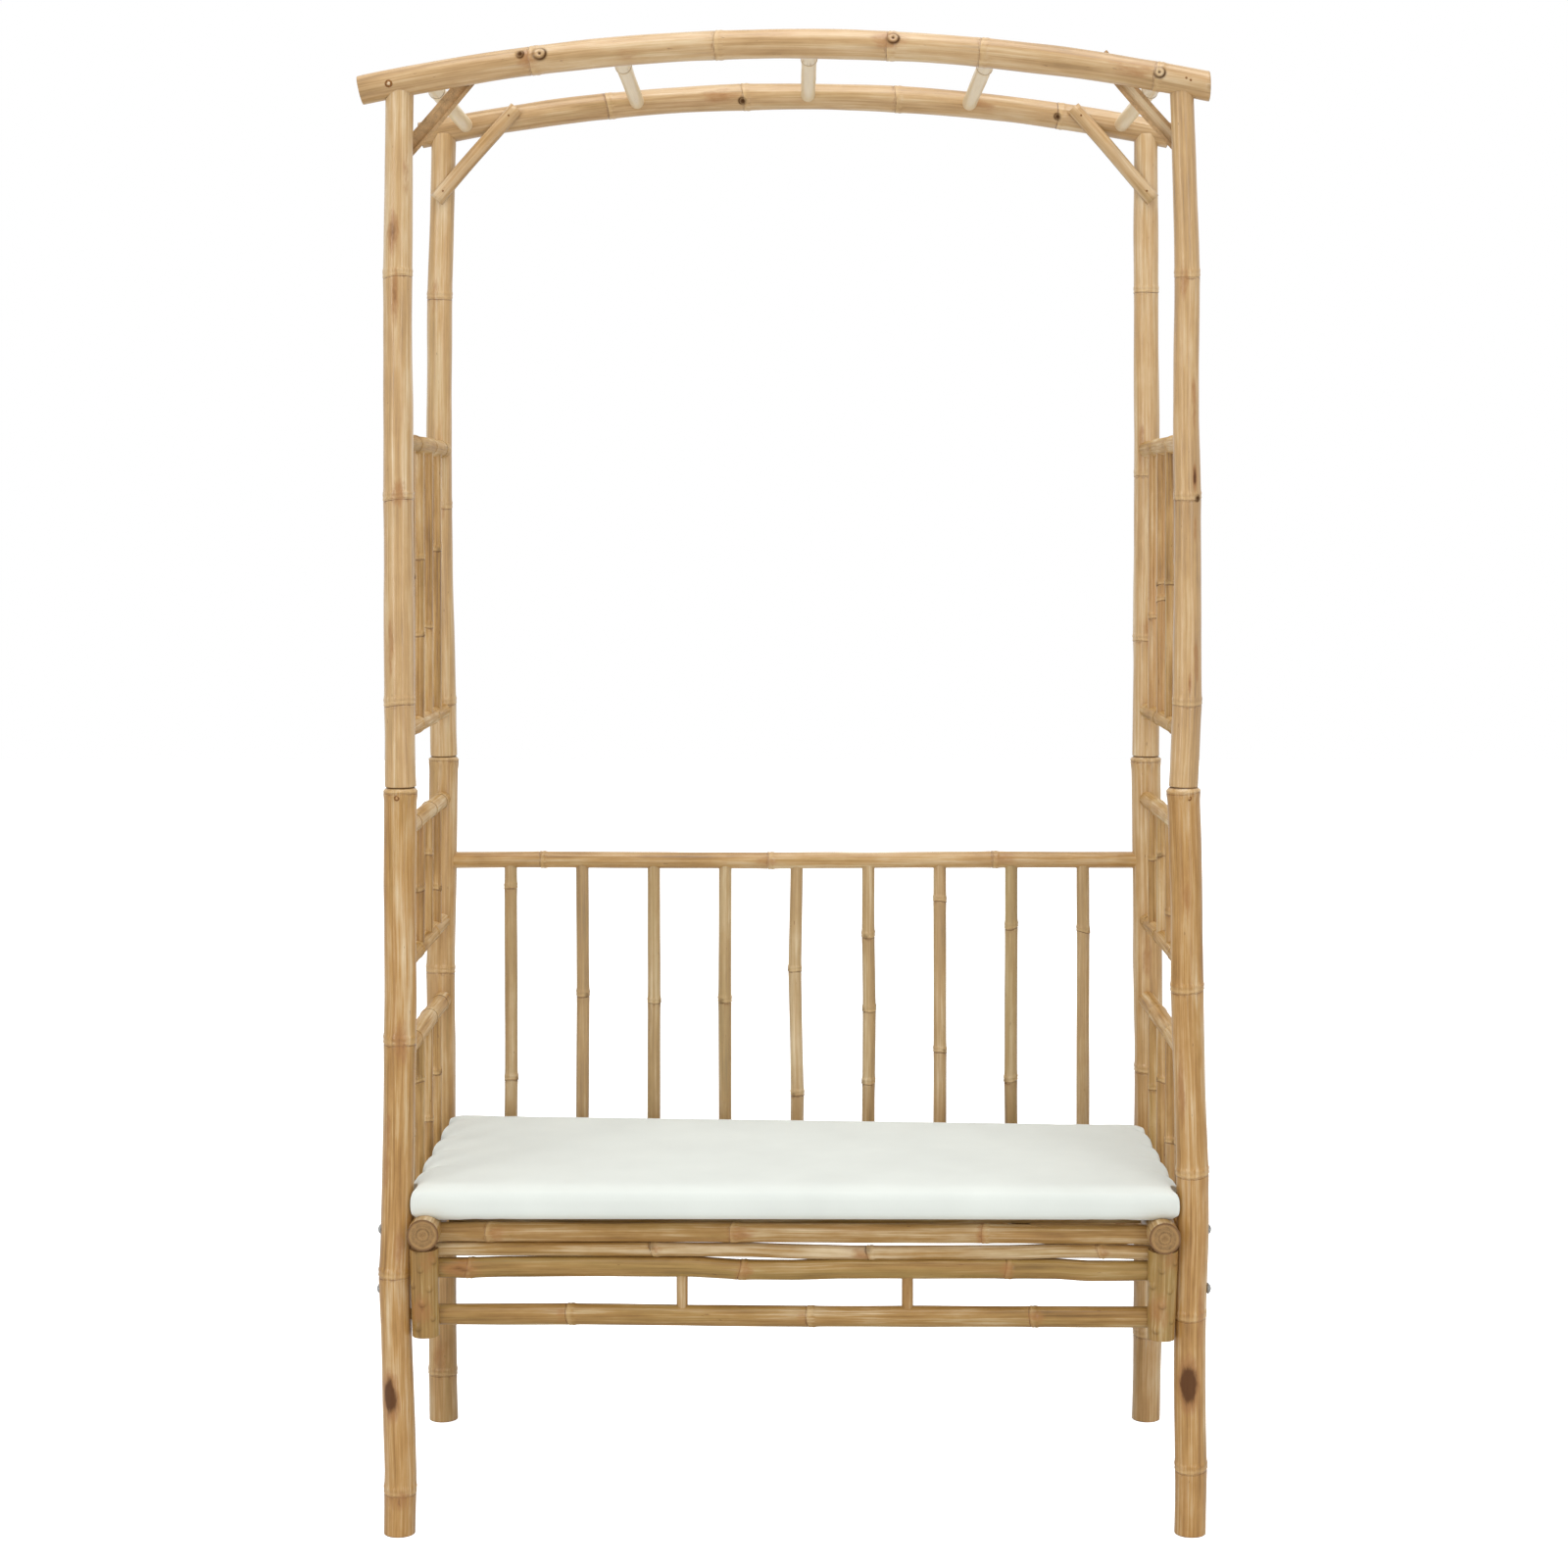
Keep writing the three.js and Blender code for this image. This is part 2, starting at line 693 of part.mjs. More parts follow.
// Upper posts: a spigot below, sockets for the rungs, and a saddle under the beam.
for (const corner of corners) {
  const { row, side, x, y, lower, upper } = corner;
  const spigot = rod(
    at(x, y, postJointZ - spigotLength),
    at(x, y, postJointZ + spigotDia / 2),
    spigotDia,
    postSides,
  );
  const upperSolid = culm(upper).add(spigot);
  const name = "_" + row + "_" + side;
  place("post_upper" + name, "post", cut(upperSolid, [...sideSockets[side], beam(row, gap)]));
  const mouth = rod(
    at(x, y, postJointZ - spigotLength - gap),
    at(x, y, postJointZ + cutOverrun),
    spigotDia + 2 * gap,
    postSides,
  );
  const backHoles = row === "back"
    ? [holeFor(...backTopEnds, backTopRailDia), holeFor(...backBottomEnds, backBottomRailDia)]
    : [];
  const tools = [...sideSockets[side], mouth, throughHoles(row), ...boltHoles(side, row)];
  const flare = flareOf(lower);
  place("post_lower" + name, "post", cut(culm(lower).add(flare), [...tools, ...backHoles]));
}

// The slight flare round the mouth of a lower post.
function flareOf({ to }) {
  const reach = postMouthDia * nodeReachShare;
  const outline = [
    new THREE.Vector2(0, -reach),
    new THREE.Vector2(postMouthDia / 2 - gap, -reach),
    new THREE.Vector2(postMouthDia * (0.5 + mouthFlareShare), 0),
    new THREE.Vector2(0, 0),
  ];
  const ring = new THREE.LatheGeometry(outline, postSides).rotateX(Math.PI / 2);
  return solidOf(ring.translate(to.x, to.y, to.z));
}

// Corner braces: split poles, flat on the side that is nailed to the post and the beam.
for (const { row, side, x } of corners) {
  const inwards = -rowSign[row];
  const section = new THREE.Shape();
  section.moveTo(-braceWidth / 2, 0);
  section.quadraticCurveTo(0, 2 * braceThickness, braceWidth / 2, 0);
  const bar = new THREE.ExtrudeGeometry(section, {
    depth: braceLength,
    bevelEnabled: false,
    curveSegments: 6,
  });
  const across = at(Math.sin(braceSlope) * sideSign[side], 0, Math.cos(braceSlope));
  const thick = at(0, inwards, 0);
  const along = at(-Math.cos(braceSlope) * sideSign[side], 0, Math.sin(braceSlope));
  const basis = new THREE.Matrix4().makeBasis(across, thick, along);
  if (basis.determinant() < 0) basis.makeBasis(across.negate(), thick, along);
  const seatY = rowSign[row] * backY + inwards * (beamDia / 2 + gap);
  const foot = at(x, seatY, postTopZ - braceDrop).addScaledVector(along, -braceFootOverhang);
  bar.applyMatrix4(basis).translate(foot.x, foot.y, foot.z);
  place("brace_" + row + "_" + side, "roof", solidOf(bar));
}

// Cushion: a box of fabric and filling, shaped point by point.
const cushionHalfX = Math.min(...corners.map((one) => postInnerX(one, sideRailZ))) - cushionSideGap;
const cushionMiddleY = backY - backSpindleDia / 2 - cushionBackGap - cushionDepth / 2;
const cushionBaseZ = slatTopZ + gap;
const sideRailTopZ = sideRailZ + sideRailDia / 2 + sideRailDia * nodeSwellShare + gap;

function cushion() {
  const size = [2 * cushionHalfX, cushionDepth, cushionThickness];
  const shape = new THREE.BoxGeometry(...size, ...cushionCells);
  const points = shape.attributes.position;
  const { lerp, smoothstep } = THREE.MathUtils;
  for (let i = 0; i < points.count; i += 1) {
    const even = [0, 1, 2].map((axis) => points.getComponent(i, axis) / (size[axis] / 2));
    const [u, v, w] = [Math.sin((even[0] * Math.PI) / 2), Math.sin((even[1] * Math.PI) / 2), even[2]];
    const open = (1 - u ** 4) * (1 - v ** 4);
    const roll = cushionEdgeRoll * w ** 2;
    const x = u * (cushionHalfX - roll * u ** 8 - cushionDrawnIn * u ** 8 * (1 - v ** 2));
    const y = v * (cushionDepth / 2 - roll * v ** 8 - cushionDrawnIn * v ** 8 * (1 - u ** 2));
    const ramp = smoothstep(Math.abs(x), railInnerX - cushionRamp, railInnerX - gap);
    const bottomZ = lerp(cushionBaseZ, sideRailTopZ, ramp);
    const topZ = cushionBaseZ + cushionThickness + cushionCrown * open;
    points.setXYZ(i, x, cushionMiddleY + y, lerp(bottomZ, topZ, (w + 1) / 2));
  }
  return solidOf(shape);
}
place("cushion", "fabric", cushion());

export default group;
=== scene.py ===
import json
import math
import random
from dataclasses import dataclass, field

import bmesh
import bpy
import numpy as np
from bpy.props import FloatProperty, FloatVectorProperty, IntProperty, PointerProperty
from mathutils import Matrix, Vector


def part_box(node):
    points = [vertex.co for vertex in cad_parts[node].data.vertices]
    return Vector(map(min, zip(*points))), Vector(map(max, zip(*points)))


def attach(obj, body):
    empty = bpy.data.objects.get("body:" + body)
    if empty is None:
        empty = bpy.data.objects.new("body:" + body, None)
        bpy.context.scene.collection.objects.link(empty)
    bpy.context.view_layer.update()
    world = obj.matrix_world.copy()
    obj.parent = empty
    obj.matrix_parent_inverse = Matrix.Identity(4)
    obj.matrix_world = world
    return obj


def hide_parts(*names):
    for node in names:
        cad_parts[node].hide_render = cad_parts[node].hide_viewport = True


bl_info = {
    "name": "Arbour Seat",
    "version": (1, 0, 0),
    "blender": (4, 5, 0),
    "location": "View3D > Sidebar > Arbour Seat",
    "description": "Dresses a bamboo arbour seat with its poles, deck, fixings and cushion",
    "category": "Object",
}

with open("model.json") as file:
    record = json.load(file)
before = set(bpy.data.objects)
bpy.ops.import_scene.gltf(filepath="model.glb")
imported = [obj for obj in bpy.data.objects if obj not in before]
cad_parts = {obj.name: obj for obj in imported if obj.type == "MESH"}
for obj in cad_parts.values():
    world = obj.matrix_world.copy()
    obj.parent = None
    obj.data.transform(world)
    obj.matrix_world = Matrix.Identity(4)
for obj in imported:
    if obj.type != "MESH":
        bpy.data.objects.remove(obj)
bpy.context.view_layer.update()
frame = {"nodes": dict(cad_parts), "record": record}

MM = 0.001
X, Y, Z = 0, 1, 2
LOW, HIGH = 0, 1
SIDES = {"left": -1, "right": 1}
ROWS = {"front": -1, "back": 1}
CORNERS = [(row, side) for row in ROWS for side in SIDES]
FACING = np.array((0.0, -1.0, 0.0))
UP = np.array((0.0, 0.0, 1.0))

# Nodes and bends of each pole, as (share of its length, kink there as a share of its thickness).
POST_NODE_SHARES = {
    "lower_front_left": [(0.055, -0.02), (0.3455, 0.16), (0.657, 0.01)],
    "lower_front_right": [(0.085, 0.045), (0.2886, 0.057), (0.48, 0.177), (0.7266, 0.057)],
    "lower_back_left": [(0.0675, 0.03), (0.6735, 0.11)],
    "lower_back_right": [(0.127, 0.06), (0.525, 0.1)],
    "upper_front_left": [(0.1156, 0.03), (0.407, 0.06), (0.723, 0.07)],
    "upper_front_right": [(0.1156, 0.134), (0.407, 0.165), (0.723, 0.18)],
    "upper_back_left": [(0.082, 0.04), (0.395, 0.19), (0.73, 0.15)],
    "upper_back_right": [(0.182, 0.02), (0.445, 0.04), (0.738, 0.01)],
}
POST_BENDS = {
    "lower_front_left": (
        (0.083, -0.03), (0.162, 0.03), (0.241, 0.09), (0.399, 0.1), (0.478, 0.06), (0.714, -0.015),
        (0.872, 0.03)),
    "lower_front_right": ((0.2, 0.033), (0.397, 0.16), (0.6, 0.12), (0.872, 0.065)),
    "upper_front_right": ((0.27, 0.154), (0.526, 0.124), (0.61, 0.13), (0.856, 0.11), (0.938, 0.05)),
}
BEAM_NODE_SHARES = {
    "front": [(0.188, 0), (0.4055, 0), (0.608, 0), (0.7175, 0), (0.925, 0)],
    "back": [(0.25, 0), (0.43, 0), (0.632, 0), (0.848, 0)],
}
BACK_TOP_RAIL_NODE_SHARES = [(0.13, 0.03), (0.46, -0.04), (0.785, 0.03)]
BACK_BOTTOM_RAIL_NODE_SHARES = [(0.3, 0.0), (0.66, 0.0)]
SIDE_RAIL_NODE_SHARES = [(0.3, 0.0), (0.74, 0.0)]
BACK_SPINDLE_NODE_SHARES = [
    [(0.19, 0.05), (0.907, 0)],
    [(0.507, 0.07)],
    [(0.477, 0.03)],
    [(0.485, -0.04)],
    [(0.132, 0.05), (0.596, -0.15)],
    [(0.178, 0.03), (0.45, 0.09), (0.727, 0)],
    [(0.294, 0.02), (0.859, 0)],
    [(0.187, -0.04), (0.76, 0)],
    [(0.745, 0.03)],
]
RAIL_NODE_SHARES = {
    "top_rail": [(0.07, 0), (0.41, 0.02), (0.7605, 0)],
    "ledger": [(0.3, 0.08), (0.6, -0.12), (0.92, 0.1)],
    "middle_rail": [(0.0515, -0.02), (0.4244, -0.05), (0.7875, 0.06)],
    "bottom_rail": [(0.207, 0.03), (0.516, -0.04), (0.803, 0)],
}
RAIL_BENDS = {
    "top_rail": (),
    "ledger": (
        (0.02, 0.06), (0.06, 0.08), (0.18, 0.08), (0.44, 0.07), (0.5, -0.03), (0.8, -0.03), (0.86, 0.08)),
    "middle_rail": (
        (0.1, 0.05), (0.25, 0.1), (0.36, 0.09), (0.5, -0.05), (0.56, 0.04), (0.86, 0.06), (0.9, -0.04)),
    "bottom_rail": (),
}

# Bamboo skin: how finely poles are made, and the form of their nodes and ends.
STATION_STEP = 9 * MM
NODE_STEP = 1.1 * MM
END_STEP = 0.5 * MM
LEAST_STEP = 0.35 * MM
NODE_SPACING = 6 * MM
NODE_SPACING_SHARE = 0.07
NODE_REACH = 3.2
NODE_TILT = 1.6 * MM
THIN_POLE = 17 * MM
BEND_SMOOTHING = 5 * MM
WAIST_SHARE = 0.012
WAIST_LENGTH = 43 * MM
FAR_FROM_NODE = 90 * MM
THICK_SIDES = 48
THIN_SIDES = 28
EYED_SIDES = 88
EYE_REACH = 1.4
EYE_STEP = 0.2
STRAIGHT_END = 0.004
LEAST_RINGED_EYE = 7 * MM
SOLID_EYE = 0.75
RINGED_EYE = 0.24
TWIG_SCAR_SHARE = 0.5
KNOB_HEIGHT = 0.36
# How dark the painted shadow on the lower side of a knob is.
KNOB_SHADOW = 0.4
THICK_FROM = 32 * MM
TWIG_SCARS_UNDER = 24 * MM
MERGE_REACH = 0.02 * MM
LARGEST_PLAIN_FACE = 4
# How much painted contact shade darkens skin that was cut to fit against another part.
FITTED_CONTACT_SHADE = 0.2


def linear(red, green, blue):
    """A colour given in steps of 0 to 255, as the linear values that Blender holds."""
    steps = [value / 255 for value in (red, green, blue)]
    return tuple(s / 12.92 if s <= 0.04045 else ((s + 0.055) / 1.055) ** 2.4 for s in steps)


class CaneSettings(bpy.types.PropertyGroup):
    """Sizes and colours of the bamboo poles."""

    scar_share: FloatProperty(
        name="Scar ridge", description="Height of the sharp ring at a node, by thickness", default=0.013)
    swell_share: FloatProperty(
        name="Node swelling", description="Height of the rounder ring above it, by thickness", default=0.018)
    thin_gain: FloatProperty(
        name="Thin poles' nodes", description="How much knobbier the nodes of thin poles are", default=1.5)
    flute_share: FloatProperty(
        name="Unevenness", description="How far a pole's skin is from round, by thickness", default=0.03)
    wall: FloatProperty(
        name="Wall", description="Wall of a hollow pole", default=5 * MM, unit="LENGTH", subtype="DISTANCE")
    mouth_depth: FloatProperty(
        name="Mouth depth", description="Depth of a hollow end", default=22 * MM, unit="LENGTH",
        subtype="DISTANCE")
    post_colour: FloatVectorProperty(
        name="Posts", description="Mid colour of the posts", subtype="COLOR", default=linear(188, 144, 83))
    roof_colour: FloatVectorProperty(
        name="Roof", description="Mid colour of the roof poles", subtype="COLOR",
        default=linear(192, 155, 106))
    rung_colour: FloatVectorProperty(
        name="Rungs", description="Mid colour of the ladder sides", subtype="COLOR",
        default=linear(191, 151, 94))
    seat_colour: FloatVectorProperty(
        name="Seat", description="Mid colour of the seat frame and the spindles", subtype="COLOR",
        default=linear(170, 132, 76))
    cut_colour: FloatVectorProperty(
        name="Cut ends", description="Colour of sawn bamboo", subtype="COLOR", default=linear(160, 124, 77))


class CushionSettings(bpy.types.PropertyGroup):
    """Form and colour of the loose cushion."""

    voxel: FloatProperty(
        name="Voxel", description="Mesh size of the cloth", default=6 * MM, unit="LENGTH",
        subtype="DISTANCE")
    pressure: FloatProperty(name="Pressure", description="How firmly the pad is stuffed", default=4.0)
    frames: IntProperty(name="Frames", description="Steps of the cloth simulation", default=20)
    shrink: FloatProperty(
        name="Start inset", description="How much smaller the pad starts", default=3 * MM, unit="LENGTH",
        subtype="DISTANCE")
    notch_depth: FloatProperty(
        name="Notch depth", description="How far the side spindles press into the pad", default=10 * MM,
        unit="LENGTH", subtype="DISTANCE")
    cloth_colour: FloatVectorProperty(
        name="Cloth", description="Colour of the cover", subtype="COLOR", default=linear(231, 236, 230))


class StageSettings(bpy.types.PropertyGroup):
    """Camera, lamps and floor."""

    camera_height: FloatProperty(
        name="Camera height", description="Height of the level camera", default=1.398, unit="LENGTH",
        subtype="DISTANCE")
    camera_distance: FloatProperty(
        name="Camera distance", description="From the camera to the front posts", default=3.97,
        unit="LENGTH", subtype="DISTANCE")
    lens: FloatProperty(name="Lens", description="Focal length in millimetres", default=66.7)
    shift_x: FloatProperty(name="Shift X", description="Framing across", default=-0.0069)
    shift_y: FloatProperty(name="Shift Y", description="Framing upwards", default=-0.175)
    sky: FloatProperty(name="Sky", description="Strength of the light from the front", default=0.44)
    sky_above: FloatProperty(name="Sky above", description="Added strength from overhead", default=0.72)
    sky_behind: FloatProperty(
        name="Sky behind", description="Strength of the light from behind", default=0.2)
    key_watts: FloatProperty(
        name="Key lamp", description="Power of the main lamp", default=33.5, unit="POWER")
    fill_watts: FloatProperty(
        name="Fill lamp", description="Power of the other lamp", default=24.5, unit="POWER")
    top_watts: FloatProperty(
        name="Top lamp", description="Power of the lamp overhead", default=49.0, unit="POWER")
    floor_glow: FloatProperty(
        name="Floor glow", description="How bright the floor looks to the camera", default=0.78)
    floor_colour: FloatVectorProperty(
        name="Floor", description="Colour of the floor", subtype="COLOR", default=(0.86, 0.86, 0.85))


# Where things are, read from the frame.


def unique_points(node):
    """Places of a solid's corners, each one once."""
    corners = np.array([vertex.co for vertex in frame["nodes"][node].data.vertices])
    return np.unique(corners.round(5), axis=0)


def ring_centre(node, axis, level):
    """Middle of the ring of corners that a solid has at a level along an axis."""
    points = unique_points(node)
    ring = points[np.abs(points[:, axis] - level) < LEAST_STEP]
    return (ring.min(0) + ring.max(0)) / 2


def end_centre(node, axis, end):
    """Middle of a pole's flat end."""
    return ring_centre(node, axis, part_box(node)[end][axis])


def pole_ends(node, axis):
    return end_centre(node, axis, LOW), end_centre(node, axis, HIGH)


def place_of(centre, **changes):
    """A copy of a point with some of its coordinates changed."""
    made = np.array(centre, float)
    for axis, value in changes.items():
        made["xyz".index(axis)] = value
    return made


# Helpers that write node trees.


class Graph:
    """Adds nodes to a tree and wires them, so that a tree reads as a list of steps."""

    def __init__(self, tree):
        self.tree = tree

    def node(self, kind, inputs=(), **settings):
        """A new node, with its settings and what goes into its sockets."""
        made = self.tree.nodes.new(kind)
        for name, value in settings.items():
            setattr(made, name, value)
        for name, value in dict(inputs).items():
            self.feed(made.inputs[name], value)
        return made

    def out(self, kind, inputs=(), **settings):
        """The first output of a new node."""
        return self.node(kind, inputs, **settings).outputs[0]

    def feed(self, socket, value):
        if isinstance(value, bpy.types.NodeSocket):
            self.tree.links.new(value, socket)
        else:
            socket.default_value = value

    def math(self, operation, first, second=0.0):
        return self.out("ShaderNodeMath", {0: first, 1: second}, operation=operation)

    def plus(self, first, second):
        return self.math("ADD", first, second)

    def minus(self, first, second):
        return self.math("SUBTRACT", first, second)

    def times(self, first, second):
        return self.math("MULTIPLY", first, second)

    def vector(self, operation, first, second):
        return self.out("ShaderNodeVectorMath", {0: first, 1: second}, operation=operation)

    def stretch(self, vector, shares):
        """Each part of a vector times its share."""
        return self.vector("MULTIPLY", vector, shares)

    def noise(self, vector, seed, scale, detail=2.0, roughness=0.5):
        inputs = {"Vector": vector, "W": seed, "Scale": scale, "Detail": detail, "Roughness": roughness}
        return self.out("ShaderNodeTexNoise", inputs, noise_dimensions="4D")

    def step(self, value, low, high, start=0.0, end=1.0):
        """Smooth step: start where the value is low, end where it is high."""
        inputs = {0: value, 1: low, 2: high, 3: start, 4: end}
        return self.out("ShaderNodeMapRange", inputs, interpolation_type="SMOOTHSTEP")

    def blend(self, factor, first, second):
        """A colour mixed from two."""
        return self.node("ShaderNodeMix", {0: factor, 6: first, 7: second}, data_type="RGBA").outputs[2]

    def ramp(self, value, stops):
        """A colour read off a scale of (place, colour) stops."""
        made = self.node("ShaderNodeValToRGB", {0: value})
        elements = made.color_ramp.elements
        while len(elements) < len(stops):
            elements.new(0.5)
        for element, (place, colour) in zip(elements, stops):
            element.position = place
            element.color = (*colour, 1.0)
        return made.outputs[0]

    def attribute(self, name, output="Fac"):
        return self.node("ShaderNodeAttribute", attribute_name=name).outputs[output]

    def own_place(self):
        """Object coordinates."""
        return self.node("ShaderNodeTexCoord").outputs["Object"]


def new_material(name):
    """A material, the graph of its tree and its shader."""
    material = bpy.data.materials.new(name)
    material.use_nodes = True
    material.node_tree.nodes.clear()
    graph = Graph(material.node_tree)
    shader = graph.node("ShaderNodeBsdfPrincipled")
    output = graph.node("ShaderNodeOutputMaterial")
    graph.feed(output.inputs["Surface"], shader.outputs[0])
    return material, graph, shader


def shade(colour, factor):
    """A colour made darker or lighter."""
    return tuple(min(1.0, value * factor) for value in colour)


def toward(first, second, share):
    """A colour part of the way from one to another."""
    return tuple(a + (b - a) * share for a, b in zip(first, second))


SCAR_BROWN = linear(98, 62, 32)
BURNT_BROWN = linear(76, 42, 20)
SCORCHED = linear(164, 113, 62)
PALE_BAND = linear(216, 184, 130)
ROSY = linear(194, 144, 100)
OLIVE = linear(160, 142, 80)
STREAK_AND_GLARE_CREAM = linear(238, 220, 184)
WARM_SHADE = (1.0, 0.93, 0.78)
# How far each pattern of the skin is drawn out along a pole, finest first.
FIBRE_STRETCH = (1.0, 1.0, 0.014)
STREAK_STRETCH = (1.0, 1.0, 0.022)
BAND_STRETCH = (1.0, 1.0, 0.06)
DASH_STRETCH = (1.0, 1.0, 0.25)
BLOTCH_STRETCH = (1.0, 1.0, 0.3)
PATCH_STRETCH = (1.0, 1.0, 0.35)
# The skin's mid tone in its pattern, and how far its tones spread from there.
MID_TONE = 0.6
TONE_SPREAD = 0.048
# How strongly each mark covers the skin, and how far those at a node reach.
PALE_BAND_STRENGTH = 0.3
SMOKE_STRENGTH = 0.4
SMOKE_LENGTH = 55 * MM
HALO_STRENGTH = 0.45
RING_STRENGTH = 0.9
RING_WANDER = 1.6 * MM
EYE_AND_SHADOW_STRENGTH = 0.92
DASH_STRENGTH = 0.45
RIM_AND_CONTACT_SHADE = 0.7
# How fine the cushion's threads are.
THREAD_SCALE = 420.0


def cane_skin(graph, colour, contrast):
    """Colour of a pole away from its nodes, with its fibres, streaks, patches and tints; its pale streaks
    are partly painted highlight, and a painted wash of light turns it towards cream.
    """
    grain = graph.attribute("grain", "Vector")
    seed = graph.attribute("seed")
    fibres = graph.noise(graph.stretch(grain, FIBRE_STRETCH), seed, 900.0, 3.0)
    streaks = graph.noise(graph.stretch(grain, STREAK_STRETCH), seed, 260.0, 3.0, 0.6)
    bands = graph.noise(graph.stretch(grain, BAND_STRETCH), seed, 85.0, 3.0, 0.55)
    patches = graph.noise(graph.stretch(grain, PATCH_STRETCH), seed, 32.0, 4.0, 0.6)
    value = graph.times(fibres, 0.2)
    cell = graph.attribute("cell")
    tone = graph.attribute("tone")
    for source, share in ((streaks, 0.38), (bands, 0.34), (patches, 0.28), (cell, 0.025), (tone, 0.03)):
        value = graph.plus(value, graph.times(source, share))
    spread = TONE_SPREAD / contrast
    dark = tuple(a * b for a, b in zip(colour, WARM_SHADE))
    darker = tuple(a * b for a, b in zip(dark, WARM_SHADE))
    # The pale end of the streaks is partly the cane's own pale strands and partly painted highlight of its
    # lacquer.
    skin = graph.ramp(value, [
        (MID_TONE - 3.0 * spread, shade(darker, 0.45)),
        (MID_TONE - 1.3 * spread, shade(dark, 0.78)),
        (MID_TONE, colour),
        (MID_TONE + 1.3 * spread, toward(colour, STREAK_AND_GLARE_CREAM, 0.3)),
        (MID_TONE + 3.0 * spread, toward(colour, STREAK_AND_GLARE_CREAM, 0.75)),
    ])
    wander = graph.noise(graph.stretch(grain, BAND_STRETCH), graph.plus(seed, 5.0), 70.0, 2.0)
    tint = graph.plus(graph.attribute("tint"), graph.times(graph.minus(wander, 0.5), 2.0))
    skin = graph.blend(graph.step(tint, 0.0, 1.2, 0.0, 0.5), skin, (*OLIVE, 1))
    skin = graph.blend(graph.step(tint, -1.2, 0.0, 0.5, 0.0), skin, (*ROSY, 1))
    # Painted light: the pale value washes the skin towards cream. It stands in for glare and bounced light,
    # and for light on a shaded brace.
    skin = graph.blend(graph.attribute("pale"), skin, (*STREAK_AND_GLARE_CREAM, 1))
    return grain, seed, fibres, streaks, skin


def node_marks(graph, grain, seed, streaks, skin):
    """Colours round the nodes: a dark broken line, a pale band above it and smoky streaks below."""
    over = graph.attribute("over")
    under = graph.attribute("under")
    above = graph.math("LESS_THAN", over, under)
    gap = graph.minus(graph.times(above, graph.plus(over, under)), under)
    wander = graph.noise(grain, seed, 110.0, 3.0)
    gap = graph.plus(gap, graph.times(graph.minus(wander, 0.5), RING_WANDER))
    band = graph.times(graph.step(gap, 0.0, 1.2 * MM), graph.step(gap, 3 * MM, 9 * MM, 1.0, 0.0))
    skin = graph.blend(graph.times(band, PALE_BAND_STRENGTH), skin, (*PALE_BAND, 1))
    below = graph.times(graph.step(gap, -SMOKE_LENGTH, -3 * MM), graph.step(gap, -2 * MM, 0.0, 1.0, 0.0))
    smoky = graph.times(below, graph.step(streaks, 0.5, 0.66))
    skin = graph.blend(graph.times(smoky, SMOKE_STRENGTH), skin, (*shade(SCORCHED, 0.7), 1))
    halo = graph.step(graph.math("ABSOLUTE", gap), 1.0 * MM, 6.0 * MM, 1.0, 0.0)
    halo = graph.times(halo, graph.step(wander, 0.5, 0.62))
    skin = graph.blend(graph.times(halo, HALO_STRENGTH), skin, (*shade(SCORCHED, 0.75), 1))
    line = graph.step(graph.math("ABSOLUTE", gap), 0.6 * MM, 1.4 * MM, 1.0, 0.0)
    line = graph.times(line, graph.step(graph.noise(grain, seed, 150.0, 2.0), 0.25, 0.5, 0.35, 1.0))
    return graph.blend(graph.times(line, RING_STRENGTH), skin, (*SCAR_BROWN, 1))


